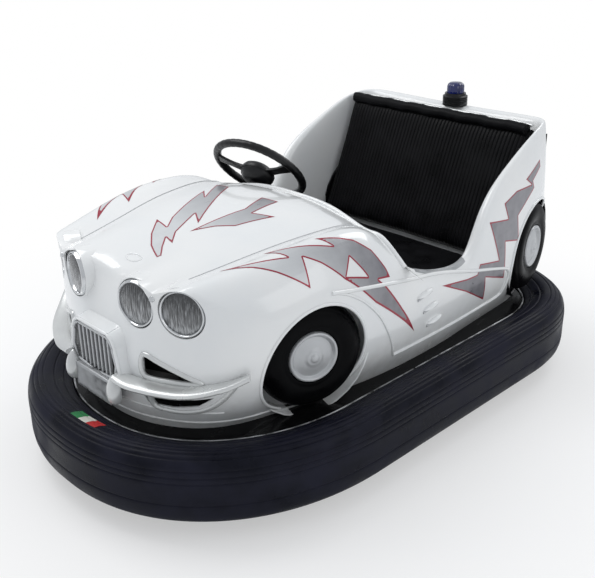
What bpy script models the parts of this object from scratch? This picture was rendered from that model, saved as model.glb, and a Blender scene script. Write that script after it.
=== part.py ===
"""Two-seat bumper car: rubber-ringed chassis, one-piece sports-car body, steered drive unit.

Metres. The car faces -Y, its left side is +X, +Z is up. The origin is on the track floor, under
the middle of the rubber ring.
"""
import math

import bmesh
import bpy
from mathutils import Matrix, Vector

for old in list(bpy.data.objects):
    bpy.data.objects.remove(old, do_unlink=True)

# ---------------------------------------------------------------- driving dimensions
GAP = 0.0003                # between two pieces that touch
RUN_GAP = 0.0003            # radial, between a shaft and its bearing
SEAT_GAP = 0.0007           # under what is bedded on the moulded body

RING_LENGTH = 1.950         # over the rubber, front to back
RING_WIDTH = 1.227
FRONT_CAP = 0.694           # length of the rounded front of the ring's plan
REAR_CAP = 0.487
FRONT_POWER = 2.19          # superellipse powers of the two rounded ends
REAR_POWER = 2.63
RING_SEGMENTS = 44

RUBBER_DEPTH = 0.137        # from the outer wall in to the steel hoop
RUBBER_BOTTOM = 0.057
RUBBER_TOP = 0.273

DECK_TOP = 0.233
DECK_SHEET = 0.005
HOOP_SHEET = 0.006
HOOP_BOTTOM = 0.085
RAIL_WIDTH = 0.040
RAIL_BOTTOM = 0.150
RAIL_X = 0.240              # middle of each long rail

SKIN = 0.005                # glass-fibre body panels

DRIVE_Y = -0.420            # vertical axis of the drive unit
DRIVE_WHEEL_RADIUS = 0.100
DRIVE_WHEEL_WIDTH = 0.070
DRIVE_AXLE_RADIUS = 0.012
SPINDLE_RADIUS = 0.060
FLANGE_RADIUS = 0.105
BEARING_RADIUS = 0.115
BEARING_HEIGHT = 0.015
MOTOR_RADIUS = 0.085
MOTOR_HEIGHT = 0.150

REAR_AXLE_Y = 0.550
REAR_WHEEL_RADIUS = 0.075
REAR_WHEEL_WIDTH = 0.040
REAR_TRACK = 0.720          # between the middles of the two rear running wheels
REAR_AXLE_RADIUS = 0.0125

STEER_CENTRE = Vector((-0.235, 0.012, 0.735))   # middle of the steering wheel's rim
STEER_AXIS = Vector((-0.185, 0.711, 0.678)).normalized()   # up the column, to the driver
STEER_DIAMETER = 0.343
RIM_THICKNESS = 0.028
COLUMN_RADIUS = 0.015
COLUMN_LENGTH = 0.400       # from the wheel's hub down to the lower bearing

FLOOR_TOP = DECK_TOP + 0.010
FLOOR_FRONT = -0.190
PEDAL_X = -0.290            # the driver sits on the car's right
PEDAL_Y = -0.120
SEAT_HALF_WIDTH = 0.402
PEDESTAL_HALF_WIDTH = 0.384
SEAT_FRONT = 0.160
SEAT_CREASE_Y = 0.487       # where the cushion meets the front of the back
SEAT_TOP = 0.450
BACK_TOP_Y = 0.660
BACK_TOP_Z = 0.885
BACK_THICKNESS = 0.070
CUSHION_THICKNESS = 0.090

WHEEL_DIAMETER = 0.326      # dummy road wheels on the body's sides
CAP_DIAMETER = 0.153
FRONT_WHEEL_DEPTH = 0.080
REAR_WHEEL_DEPTH = 0.046
ARCH_RADIUS = 0.195
LINER_RADIUS = ARCH_RADIUS - 0.0005
LINER_WALL = 0.004

LAMP_DIAMETER = 0.135
BEACON_BASE = 0.093
BEACON_TOP = 0.953
BEACON_Y = 0.790


# ---------------------------------------------------------------- helpers
def material(name, colour, roughness, metallic=0.0):
    mat = bpy.data.materials.new(name)
    mat.use_nodes = True
    shader = mat.node_tree.nodes["Principled BSDF"]
    shader.inputs["Base Color"].default_value = (*colour, 1.0)
    shader.inputs["Roughness"].default_value = roughness
    shader.inputs["Metallic"].default_value = metallic
    return mat


def add_object(name, bm, look, smooth=40.0, place=None):
    """Store a bmesh as a named object; smooth is the angle up to which edges are shaded round."""
    mesh = bpy.data.meshes.new(name)
    bm.to_mesh(mesh)
    bm.free()
    mesh.materials.append(material(name + "_finish", *look))
    obj = bpy.data.objects.new(name, mesh)
    bpy.context.collection.objects.link(obj)
    if place is not None:
        obj.matrix_world = place
    if smooth:
        mesh.shade_smooth()
        mesh.set_sharp_from_angle(angle=math.radians(smooth))
    return obj


def cutter_object(name, bm, place=None):
    obj = add_object(name, bm, ((0.5, 0.1, 0.1), 0.5), smooth=0, place=place)
    obj.hide_render = True
    obj.display_type = "WIRE"
    return obj


def boolean(obj, other, operation="DIFFERENCE"):
    mod = obj.modifiers.new(operation.title(), "BOOLEAN")
    mod.operation = operation
    mod.object = other
    return mod


def axis_frame(centre, axis):
    """A matrix whose local Z runs along axis and whose local X stays level."""
    up = Vector(axis).normalized()
    side = Vector((0, 0, 1)).cross(up)
    side = Vector((1, 0, 0)) if side.length < 1e-6 else side.normalized()
    turn = Matrix((side, up.cross(side), up)).transposed().to_4x4()
    return Matrix.Translation(centre) @ turn


def box_mesh(low, high, bevel=0.0, segments=2):
    bm = bmesh.new()
    size = [high[i] - low[i] for i in range(3)]
    middle = [(high[i] + low[i]) / 2 for i in range(3)]
    bmesh.ops.create_cube(bm, size=1.0, matrix=Matrix.LocRotScale(middle, None, size))
    if bevel:
        bmesh.ops.bevel(bm, geom=bm.edges[:], offset=bevel, segments=segments, affect="EDGES",
                        profile=0.5)
    return bm


def turned(profile, segments=24):
    """Turn a closed (radius, height) outline about local Z; points at radius 0 become poles."""
    bm = bmesh.new()
    loops = []
    for radius, height in profile:
        if radius == 0:
            loops.append([bm.verts.new((0, 0, height))])
            continue
        angles = [2 * math.pi * k / segments for k in range(segments)]
        loops.append([bm.verts.new((radius * math.cos(a), radius * math.sin(a), height))
                      for a in angles])
    open_ended = profile[0][0] == 0 and profile[-1][0] == 0
    pairs = list(zip(loops, loops[1:]))
    if not open_ended:
        pairs.append((loops[-1], loops[0]))
    for lower, upper in pairs:
        for k in range(segments):
            n = (k + 1) % segments
            corners = [lower[k % len(lower)], lower[n % len(lower)],
                       upper[n % len(upper)], upper[k % len(upper)]]
            corners = list(dict.fromkeys(corners))
            if len(corners) > 2:
                bm.faces.new(corners)
    bmesh.ops.recalc_face_normals(bm, faces=bm.faces[:])
    return bm


def grid_faces(bm, rows):
    """Join equal rows of vertices with quads; a None entry leaves that place open."""
    for lower, upper in zip(rows, rows[1:]):
        for k in range(len(lower) - 1):
            corners = [lower[k], lower[k + 1], upper[k + 1], upper[k]]
            if None not in corners:
                bm.faces.new(corners)


def ring_plan(inset, count=RING_SEGMENTS):
    """Plan of the ring, or of anything that follows it, inset metres inside the rubber's wall."""
    half_width = RING_WIDTH / 2 - inset
    half_length = RING_LENGTH / 2 - inset
    points = []
    for k in range(count):
        angle = 2 * math.pi * k / count
        c, s = math.cos(angle), math.sin(angle)
        power, cap = (FRONT_POWER, FRONT_CAP) if s < 0 else (REAR_POWER, REAR_CAP)
        cap -= inset
        along = cap * abs(s) ** (2 / power) + half_length - cap
        across = half_width * math.copysign(abs(c) ** (2 / power), c)
        points.append((across, math.copysign(along, s)))
    return points


def swept_ring(section, count=RING_SEGMENTS):
    """Sweep a closed (inset, height) section round the ring's plan."""
    bm = bmesh.new()
    loops = []
    for inset, z in section:
        loops.append([bm.verts.new((x, y, z)) for x, y in ring_plan(inset, count)])
    for lower, upper in zip(loops, loops[1:] + loops[:1]):
        for k in range(count):
            n = (k + 1) % count
            bm.faces.new([lower[k], lower[n], upper[n], upper[k]])
    bmesh.ops.recalc_face_normals(bm, faces=bm.faces[:])
    return bm


def plate(outline, low, high):
    """An upright prism over a plan outline."""
    bm = bmesh.new()
    face = bm.faces.new([bm.verts.new((x, y, low)) for x, y in outline])
    lifted = bmesh.ops.extrude_face_region(bm, geom=[face])
    moved = [v for v in lifted["geom"] if isinstance(v, bmesh.types.BMVert)]
    bmesh.ops.translate(bm, vec=(0, 0, high - low), verts=moved)
    bmesh.ops.recalc_face_normals(bm, faces=bm.faces[:])
    return bm


def add_skin(obj, thickness=SKIN, levels=1, offset=-1.0):
    """Round a control cage and give it its wall thickness, inwards."""
    surface = obj.modifiers.new("Rounding", "SUBSURF")
    surface.levels = levels
    surface.render_levels = levels
    wall = obj.modifiers.new("Wall", "SOLIDIFY")
    wall.thickness = thickness
    wall.offset = offset
    wall.use_even_offset = True
    return wall


# ---------------------------------------------------------------- finishes: colour, roughness, metallic
RUBBER = ((0.020, 0.021, 0.026), 0.55)
DECK_BLACK = ((0.012, 0.012, 0.013), 0.22)
FRAME_BLACK = ((0.03, 0.03, 0.03), 0.5)
GLOSS_WHITE = ((0.86, 0.86, 0.85), 0.18)
VINYL = ((0.012, 0.012, 0.014), 0.4)
BLACK_PLASTIC = ((0.015, 0.015, 0.016), 0.35)
SILVER = ((0.62, 0.63, 0.64), 0.3, 0.6)
CHROME = ((0.8, 0.8, 0.8), 0.08, 1.0)
LENS = ((0.45, 0.46, 0.47), 0.15)
STEEL = ((0.45, 0.45, 0.46), 0.35, 1.0)
BLUE = ((0.01, 0.03, 0.25), 0.1)
MOTOR_GREY = ((0.12, 0.13, 0.14), 0.45)


# ---------------------------------------------------------------- rubber ring, hoop, rails, deck
def build_chassis():
    outer = RUBBER_DEPTH - 0.0003
    rubber = [  # inset, height
        (0.030, RUBBER_BOTTOM), (0.004, RUBBER_BOTTOM + 0.023), (0.0, RUBBER_BOTTOM + 0.055),
        (0.0, RUBBER_TOP - 0.058), (0.012, RUBBER_TOP - 0.022), (0.045, RUBBER_TOP),
        (0.092, RUBBER_TOP - 0.010), (outer, DECK_TOP + 0.003), (outer, HOOP_BOTTOM + 0.012),
        (0.112, RUBBER_BOTTOM + 0.004),
    ]
    add_object("bumper_tyre", swept_ring(rubber), RUBBER)

    hoop_in = RUBBER_DEPTH + HOOP_SHEET
    hoop = [(RUBBER_DEPTH, HOOP_BOTTOM), (RUBBER_DEPTH, DECK_TOP + 0.003),
            (hoop_in, DECK_TOP + 0.003), (hoop_in, HOOP_BOTTOM)]
    frame = add_object("chassis_frame", swept_ring(hoop), FRAME_BLACK, smooth=30)

    rail_top = DECK_TOP - DECK_SHEET - GAP
    half = RAIL_WIDTH / 2
    long_reach = RING_LENGTH / 2
    wide_reach = RING_WIDTH / 2
    members = [  # name, low x, high x, low y, high y
        ("left_rail", RAIL_X - half, RAIL_X + half, -long_reach, long_reach),
        ("right_rail", -RAIL_X - half, -RAIL_X + half, -long_reach, long_reach),
        ("front_cross", -wide_reach, wide_reach, DRIVE_Y - 0.240, DRIVE_Y - 0.200),
        ("middle_cross", -wide_reach, wide_reach, DRIVE_Y + 0.200, DRIVE_Y + 0.240),
        ("rear_cross", -wide_reach, wide_reach, REAR_AXLE_Y + 0.100, REAR_AXLE_Y + 0.140),
    ]
    inside = cutter_object("inside_hoop", plate(ring_plan(RUBBER_DEPTH + HOOP_SHEET / 2), 0.05, 0.5))
    for name, x0, x1, y0, y1 in members:
        bar = cutter_object(name, box_mesh((x0, y0, RAIL_BOTTOM), (x1, y1, rail_top)))
        boolean(bar, inside, "INTERSECT")
        boolean(frame, bar, "UNION")

    deck = add_object("chassis_deck", plate(ring_plan(hoop_in + GAP), DECK_TOP - DECK_SHEET, DECK_TOP),
                      DECK_BLACK, smooth=0)
    hole = turned([(0, 0.1), (SPINDLE_RADIUS + 0.012, 0.1), (SPINDLE_RADIUS + 0.012, 0.4), (0, 0.4)], 32)
    boolean(deck, cutter_object("spindle_hole", hole, Matrix.Translation((0, DRIVE_Y, 0))))


# ---------------------------------------------------------------- steered drive unit and running wheels
def running_wheel(name, centre, radius, width, bore, look, segments=24):
    """A solid wheel on its own axle, turned about X."""
    half = width / 2
    profile = [(bore, -half * 0.8), (radius * 0.62, -half * 0.8), (radius * 0.66, -half),
               (radius * 0.93, -half), (radius, -half * 0.7), (radius, half * 0.7),
               (radius * 0.93, half), (radius * 0.66, half), (radius * 0.62, half * 0.8),
               (bore, half * 0.8)]
    place = Matrix.Translation(centre) @ Matrix.Rotation(math.pi / 2, 4, "Y")
    return add_object(name, turned(profile, segments), look, place=place)


def build_drive_unit():
    bearing_top = DECK_TOP + GAP + BEARING_HEIGHT
    bearing = turned([(SPINDLE_RADIUS + RUN_GAP, DECK_TOP + GAP), (BEARING_RADIUS, DECK_TOP + GAP),
                      (BEARING_RADIUS, bearing_top), (SPINDLE_RADIUS + RUN_GAP, bearing_top)], 32)
    add_object("drive_bearing", bearing, STEEL, place=Matrix.Translation((0, DRIVE_Y, 0)))

    flange = bearing_top + GAP
    crown = DRIVE_WHEEL_RADIUS * 2 + 0.008        # underside of the fork, above the wheel
    body = turned([(0, crown), (SPINDLE_RADIUS, crown), (SPINDLE_RADIUS, flange),
                   (FLANGE_RADIUS, flange), (FLANGE_RADIUS, flange + 0.012),
                   (MOTOR_RADIUS, flange + 0.014), (MOTOR_RADIUS, flange + MOTOR_HEIGHT - 0.015),
                   (MOTOR_RADIUS - 0.020, flange + MOTOR_HEIGHT), (0, flange + MOTOR_HEIGHT)], 24)
    unit = add_object("drive_unit", body, MOTOR_GREY, place=Matrix.Translation((0, DRIVE_Y, 0)))
    cheek_in = DRIVE_WHEEL_WIDTH / 2 + 0.008
    axle_z = DRIVE_WHEEL_RADIUS
    for side in (-1, 1):
        x0, x1 = sorted((side * cheek_in, side * (cheek_in + 0.010)))
        cheek = box_mesh((x0, DRIVE_Y - 0.035, axle_z - 0.030), (x1, DRIVE_Y + 0.035, crown + 0.004))
        boolean(unit, cutter_object("fork_cheek", cheek), "UNION")
    reach = cheek_in + 0.016
    axle = turned([(0, -reach), (DRIVE_AXLE_RADIUS, -reach), (DRIVE_AXLE_RADIUS, reach), (0, reach)], 20)
    axle_place = Matrix.Translation((0, DRIVE_Y, axle_z)) @ Matrix.Rotation(math.pi / 2, 4, "Y")
    boolean(unit, cutter_object("drive_axle", axle, axle_place), "UNION")

    rim_radius = DRIVE_WHEEL_RADIUS * 0.66
    half = DRIVE_WHEEL_WIDTH / 2
    bore = DRIVE_AXLE_RADIUS + RUN_GAP
    hub = turned([(bore, -half - 0.004), (0.026, -half - 0.004), (0.030, -half * 0.55),
                  (rim_radius - 0.008, -half * 0.55), (rim_radius, -half), (rim_radius, half),
                  (rim_radius - 0.008, half * 0.55), (0.030, half * 0.55), (0.026, half + 0.004),
                  (bore, half + 0.004)], 24)
    add_object("drive_wheel_hub", hub, STEEL, place=axle_place)
    seat = rim_radius + GAP
    tyre = turned([(seat, -half), (DRIVE_WHEEL_RADIUS * 0.94, -half), (DRIVE_WHEEL_RADIUS, -half * 0.75),
                   (DRIVE_WHEEL_RADIUS, half * 0.75), (DRIVE_WHEEL_RADIUS * 0.94, half), (seat, half)], 24)
    add_object("drive_wheel_tyre", tyre, RUBBER, place=axle_place)


def build_rear_axle():
    reach = REAR_TRACK / 2 + REAR_WHEEL_WIDTH / 2 + 0.014
    turn = Matrix.Rotation(math.pi / 2, 4, "Y")
    place = Matrix.Translation((0, REAR_AXLE_Y, REAR_WHEEL_RADIUS)) @ turn
    shoulder = REAR_TRACK / 2 - REAR_WHEEL_WIDTH / 2
    bar = turned([(0, -reach), (REAR_AXLE_RADIUS, -reach), (REAR_AXLE_RADIUS, -shoulder),
                  (REAR_AXLE_RADIUS + 0.008, -shoulder), (REAR_AXLE_RADIUS + 0.008, shoulder),
                  (REAR_AXLE_RADIUS, shoulder), (REAR_AXLE_RADIUS, reach), (0, reach)], 20)
    axle = add_object("rear_axle", bar, FRAME_BLACK, place=place)
    for side in (-1, 1):
        x = side * RAIL_X
        low = (x - 0.006, REAR_AXLE_Y - 0.050, REAR_WHEEL_RADIUS - 0.026)
        high = (x + 0.006, REAR_AXLE_Y + 0.050, RAIL_BOTTOM - GAP)
        boolean(axle, cutter_object("axle_bracket", box_mesh(low, high)), "UNION")
        which = "left" if side > 0 else "right"
        running_wheel("rear_wheel_" + which, (side * REAR_TRACK / 2, REAR_AXLE_Y, REAR_WHEEL_RADIUS),
                      REAR_WHEEL_RADIUS, REAR_WHEEL_WIDTH, REAR_AXLE_RADIUS + RUN_GAP, RUBBER)


# ---------------------------------------------------------------- front body shell
# The bonnet and wings: rows run from the cowl to the nose, columns from the middle outwards.
# Each entry is (x, y, z) of the left half; the last entry of a row is on the shoulder line.
BONNET_ROWS = [
    # centre line             bonnet crown            crease                 wing crown             shoulder
    [(0, -0.050, 0.718), (0.160, -0.055, 0.712), (0.315, -0.072, 0.696), (0.395, -0.076, 0.675), (0.470, -0.060, 0.600)],
    [(0, -0.150, 0.752), (0.160, -0.150, 0.746), (0.317, -0.150, 0.733), (0.398, -0.150, 0.734), (0.474, -0.150, 0.635)],
    [(0, -0.270, 0.760), (0.158, -0.270, 0.754), (0.309, -0.270, 0.735), (0.398, -0.270, 0.748), (0.474, -0.270, 0.648)],
    [(0, -0.410, 0.742), (0.152, -0.410, 0.740), (0.289, -0.410, 0.728), (0.390, -0.410, 0.742), (0.470, -0.410, 0.652)],
    [(0, -0.550, 0.696), (0.148, -0.560, 0.708), (0.260, -0.560, 0.705), (0.365, -0.560, 0.716), (0.452, -0.540, 0.640)],
    [(0, -0.665, 0.640), (0.149, -0.735, 0.686), (0.221, -0.738, 0.672), (0.300, -0.700, 0.686), (0.400, -0.648, 0.620)],
]
# The sides and nose hang from the bonnet's edge: at each place along it, four levels down to the hem.
SKIRT_LEVELS = [0.575, 0.460, 0.350, DECK_TOP + GAP]
SKIRT_PLANS = [
    # at lamp height   at the waist       below the blade    at the hem
    [(0, -0.735), (0, -0.815), (0, -0.822), (0, -0.786)],
    [(0.145, -0.762), (0.125, -0.806), (0.125, -0.806), (0.118, -0.768)],
    [(0.222, -0.748), (0.232, -0.768), (0.225, -0.762), (0.205, -0.722)],
    [(0.305, -0.712), (0.325, -0.726), (0.312, -0.716), (0.268, -0.672)],
    [(0.412, -0.645), (0.432, -0.642), (0.402, -0.625), (0.322, -0.590)],
    [(0.462, -0.540), (0.468, -0.535), (0.425, -0.515), (0.352, -0.470)],
    [(0.478, -0.410), (0.482, -0.410), (0.445, -0.400), (0.372, -0.370)],
    [(0.482, -0.270), (0.486, -0.270), (0.462, -0.265), (0.396, -0.250)],
    [(0.483, -0.150), (0.487, -0.150), (0.470, -0.150), (0.411, -0.150)],
    [(0.482, -0.052), (0.487, -0.052), (0.474, -0.052), (0.421, -0.052)],
]


def mirrored_rows(bm, rows):
    """Vertices for half rows that start on the centre line, with their mirror image."""
    full = []
    for row in rows:
        right = [bm.verts.new((-x, y, z)) for x, y, z in reversed(row[1:])]
        middle = [bm.verts.new((0, row[0][1], row[0][2]))]
        left = [bm.verts.new(point) for point in row[1:]]
        full.append(right + middle + left)
    return full


def front_cage():
    bm = bmesh.new()
    top = mirrored_rows(bm, BONNET_ROWS)
    grid_faces(bm, top)
    edge_left = [row[-1] for row in top]
    edge_right = [row[0] for row in top]
    rim = edge_right[:-1] + top[-1] + edge_left[-2::-1]
    levels = [rim]
    for level, z in enumerate(SKIRT_LEVELS):
        half = [(plans[level][0], plans[level][1], z) for plans in SKIRT_PLANS]
        right = [bm.verts.new((-x, y, z)) for x, y, z in reversed(half[1:])]
        middle = [bm.verts.new((0, half[0][1], z))]
        left = [bm.verts.new(point) for point in half[1:]]
        levels.append(right + middle + left)
    grid_faces(bm, levels)
    bmesh.ops.recalc_face_normals(bm, faces=bm.faces[:])
    if sum(face.normal.z * face.calc_area() for face in bm.faces) < 0:
        bmesh.ops.reverse_faces(bm, faces=bm.faces[:])
    return bm


FRONT_FOOT = DECK_TOP + GAP      # the front arch liners stand on the deck
REAR_FOOT = RUBBER_TOP + 0.002   # the rear ones reach out over the rubber
DUMMY_WHEELS = [  # name, side, middle of the cap, yaw of its face towards the front, tyre's depth, liner's foot
    ("front_left", 1, Vector((0.429, -0.394, 0.414)), 17.5, FRONT_WHEEL_DEPTH, FRONT_FOOT),
    ("front_right", -1, Vector((-0.429, -0.394, 0.414)), 17.5, FRONT_WHEEL_DEPTH, FRONT_FOOT),
    ("rear_left", 1, Vector((0.427, 0.720, 0.435)), -13.0, REAR_WHEEL_DEPTH, REAR_FOOT),
    ("rear_right", -1, Vector((-0.427, 0.720, 0.435)), -13.0, REAR_WHEEL_DEPTH, REAR_FOOT),
]


def dummy_wheel_frame(side, centre, yaw):
    """Local Z points out of the wheel's face."""
    angle = math.radians(yaw)
    return axis_frame(centre, (side * math.cos(angle), -math.sin(angle), 0.0))


def arch_cutters(names):
    found = []
    for name, side, centre, yaw, depth, _ in DUMMY_WHEELS:
        if name in names:
            inner = -depth - LINER_WALL - 0.002
            tube = turned([(0, inner), (ARCH_RADIUS, inner), (ARCH_RADIUS, 0.15), (0, 0.15)], 28)
            found.append(cutter_object("arch_" + name, tube, dummy_wheel_frame(side, centre, yaw)))
    return found


def lamp_frame(centre, yaw):
    """Local Z points out of the lamp's glass."""
    angle = math.radians(yaw)
    return axis_frame(centre, (math.sin(angle), -math.cos(angle), 0.03))


def build_front_body():
    shell = add_object("body_front", front_cage(), GLOSS_WHITE, smooth=50)
    add_skin(shell)
    for cut in arch_cutters(("front_left", "front_right")):
        boolean(shell, cut)
    hole = box_mesh((-GRILLE_HALF - GAP, -0.90, GRILLE_LOW - GAP), (GRILLE_HALF + GAP, -0.78, GRILLE_HIGH + GAP))
    boolean(shell, cutter_object("grille_hole", hole))
    for name, centre, yaw in LAMPS:
        radius = LAMP_DIAMETER / 2 + GAP
        socket = turned([(0, -0.050), (radius, -0.050), (radius, 0.060), (0, 0.060)], 24)
        boolean(shell, cutter_object("socket_" + name, socket, lamp_frame(centre, yaw)))


# ---------------------------------------------------------------- rear body tub
# Sections round the tub, from the front of the left sill to the middle of the tail.
# Each has its hem, waist and shoulder (x, y), the crest's two edges (x, y), and the crest's height.
TUB_SECTIONS = [
    # hem              waist            outer edge       inner edge       inner foot       crest z
    [(0.421, -0.048), (0.487, -0.048), (0.476, -0.048), (0.440, -0.048), (0.425, -0.048), 0.560],
    [(0.424, 0.060), (0.487, 0.060), (0.476, 0.060), (0.440, 0.060), (0.425, 0.060), 0.545],
    [(0.422, 0.200), (0.487, 0.190), (0.476, 0.190), (0.440, 0.190), (0.425, 0.190), 0.520],
    [(0.416, 0.280), (0.487, 0.262), (0.478, 0.262), (0.436, 0.275), (0.425, 0.290), 0.535],
    [(0.410, 0.340), (0.486, 0.315), (0.482, 0.310), (0.432, 0.325), (0.424, 0.340), 0.650],
    [(0.404, 0.420), (0.484, 0.385), (0.478, 0.372), (0.428, 0.385), (0.422, 0.400), 0.728],
    [(0.396, 0.520), (0.478, 0.490), (0.466, 0.480), (0.424, 0.480), (0.420, 0.480), 0.785],
    [(0.390, 0.620), (0.464, 0.600), (0.454, 0.585), (0.420, 0.580), (0.418, 0.580), 0.835],
    [(0.380, 0.700), (0.446, 0.710), (0.440, 0.680), (0.416, 0.670), (0.416, 0.640), 0.872],
    [(0.328, 0.758), (0.404, 0.850), (0.404, 0.795), (0.402, 0.742), (0.402, 0.690), 0.882],
    [(0.258, 0.782), (0.330, 0.898), (0.330, 0.830), (0.330, 0.750), (0.330, 0.700), 0.878],
    [(0.150, 0.790), (0.160, 0.912), (0.160, 0.846), (0.160, 0.752), (0.160, 0.702), 0.872],
    [(0.000, 0.792), (0.000, 0.915), (0.000, 0.850), (0.000, 0.752), (0.000, 0.702), 0.870],
]


def tub_cage():
    bm = bmesh.new()
    half = []
    for hem, waist, outer, inner, foot, crest in TUB_SECTIONS:
        foot_z = SEAT_TOP - CUSHION_THICKNESS
        row = [(*hem, DECK_TOP + GAP), ((hem[0] + 2 * waist[0]) / 3, (hem[1] + 2 * waist[1]) / 3, 0.330),
               (*waist, 0.460), (*outer, crest - 0.022), ((outer[0] * 2 + inner[0]) / 3,
               (outer[1] * 2 + inner[1]) / 3, crest), ((outer[0] + inner[0] * 2) / 3,
               (outer[1] + inner[1] * 2) / 3, crest), (*inner, crest - 0.024), (*foot, foot_z)]
        half.append(row)
    left = [[bm.verts.new(point) for point in row] for row in half]
    right = [[bm.verts.new((-x, y, z)) for x, y, z in row] for row in half[-2::-1]]
    grid_faces(bm, left + right)
    bmesh.ops.recalc_face_normals(bm, faces=bm.faces[:])
    if sum(face.normal.z * face.calc_area() for face in bm.faces) < 0:
        bmesh.ops.reverse_faces(bm, faces=bm.faces[:])
    return bm


def build_tub():
    tub = add_object("body_tub", tub_cage(), GLOSS_WHITE, smooth=50)
    add_skin(tub)
    for cut in arch_cutters(("rear_left", "rear_right")):
        boolean(tub, cut)
    floor_in = 0.400
    floor = box_mesh((-floor_in, FLOOR_FRONT, DECK_TOP + GAP), (floor_in, SEAT_FRONT - GAP, FLOOR_TOP))
    add_object("cockpit_floor", floor, DECK_BLACK, smooth=0)


# ---------------------------------------------------------------- dummy road wheels
def build_dummy_wheels():
    radius = WHEEL_DIAMETER / 2
    cap = CAP_DIAMETER / 2
    for name, side, centre, yaw, depth, foot in DUMMY_WHEELS:
        back = -depth
        place = dummy_wheel_frame(side, centre, yaw)
        tyre = turned([(cap - 0.020, back), (radius - 0.016, back), (radius, back + 0.016), (radius, -0.024),
                       (radius - 0.030, 0.004), (cap + 0.012, 0.0),
                       (cap + GAP, -0.010), (cap + GAP, -0.028), (cap - 0.020, -0.028)], 24)
        add_object("wheel_tyre_" + name, tyre, BLACK_PLASTIC, place=place)
        dish = turned([(0, -0.028 + GAP), (cap, -0.028 + GAP), (cap, -0.004), (cap - 0.008, 0.004),
                       (cap - 0.016, -0.002), (cap * 0.28, 0.006), (cap * 0.22, 0.012),
                       (0, 0.012)], 24)
        add_object("wheel_cap_" + name, dish, SILVER, place=place)
        floor = back - GAP
        wall = LINER_RADIUS - LINER_WALL
        cup = turned([(0, floor - LINER_WALL), (LINER_RADIUS, floor - LINER_WALL), (LINER_RADIUS, -0.020),
                      (wall, -0.020), (wall, floor), (0, floor)], 28)
        liner = add_object("arch_liner_" + name, cup, BLACK_PLASTIC, place=place)
        below = box_mesh((centre.x - 0.4, centre.y - 0.4, 0.0), (centre.x + 0.4, centre.y + 0.4, foot))
        boolean(liner, cutter_object("liner_foot_" + name, below))


# ---------------------------------------------------------------- cockpit
def slab(corners, half_width, bevel):
    """A bar across the car whose (y, z) section is the given outline."""
    bm = bmesh.new()
    face = bm.faces.new([bm.verts.new((-half_width, y, z)) for y, z in corners])
    lifted = bmesh.ops.extrude_face_region(bm, geom=[face])
    moved = [v for v in lifted["geom"] if isinstance(v, bmesh.types.BMVert)]
    bmesh.ops.translate(bm, vec=(2 * half_width, 0, 0), verts=moved)
    bmesh.ops.recalc_face_normals(bm, faces=bm.faces[:])
    if bevel:
        bmesh.ops.bevel(bm, geom=bm.edges[:], offset=bevel, segments=2, affect="EDGES", profile=0.5)
    return bm


def build_seat():
    low = SEAT_TOP - CUSHION_THICKNESS
    tail = SEAT_CREASE_Y + 0.040
    pedestal = add_object("seat_pedestal", box_mesh((-PEDESTAL_HALF_WIDTH, SEAT_FRONT, DECK_TOP + GAP),
                                                    (PEDESTAL_HALF_WIDTH, tail, low - GAP)),
                          GLOSS_WHITE, smooth=0)
    inside = box_mesh((-PEDESTAL_HALF_WIDTH + SKIN, SEAT_FRONT + SKIN, DECK_TOP - 0.05),
                      (PEDESTAL_HALF_WIDTH - SKIN, tail - SKIN, low - SKIN))
    boolean(pedestal, cutter_object("pedestal_inside", inside))
    cushion = box_mesh((-SEAT_HALF_WIDTH, SEAT_FRONT - 0.005, low),
                       (SEAT_HALF_WIDTH, SEAT_CREASE_Y - 0.004, SEAT_TOP), bevel=0.020)
    add_object("seat_cushion", cushion, VINYL)

    lean = Vector((0, BACK_TOP_Y - SEAT_CREASE_Y, BACK_TOP_Z - SEAT_TOP)).normalized()
    out = Vector((0, lean.z, -lean.y))            # square to the back's front face, to the rear
    crease = Vector((0, SEAT_CREASE_Y, SEAT_TOP))
    head = Vector((0, BACK_TOP_Y, BACK_TOP_Z))

    def down_to(point, z):
        return point - lean * ((point.z - z) / lean.z)

    rear = down_to(crease + out * BACK_THICKNESS, low)
    outline = [(SEAT_CREASE_Y, low), (SEAT_CREASE_Y, SEAT_TOP), (head.y, head.z),
               ((head + out * BACK_THICKNESS).y, (head + out * BACK_THICKNESS).z), (rear.y, rear.z)]
    add_object("seat_back", slab(outline, SEAT_HALF_WIDTH, 0.018), VINYL)

    near = head + out * (BACK_THICKNESS + GAP) - lean * 0.025
    far = near + out * 0.008
    board = [(p.y, p.z) for p in (down_to(near, low), near, far, down_to(far, low))]
    add_object("seat_back_board", slab(board, SEAT_HALF_WIDTH - 0.030, 0), GLOSS_WHITE, smooth=0)


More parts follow.
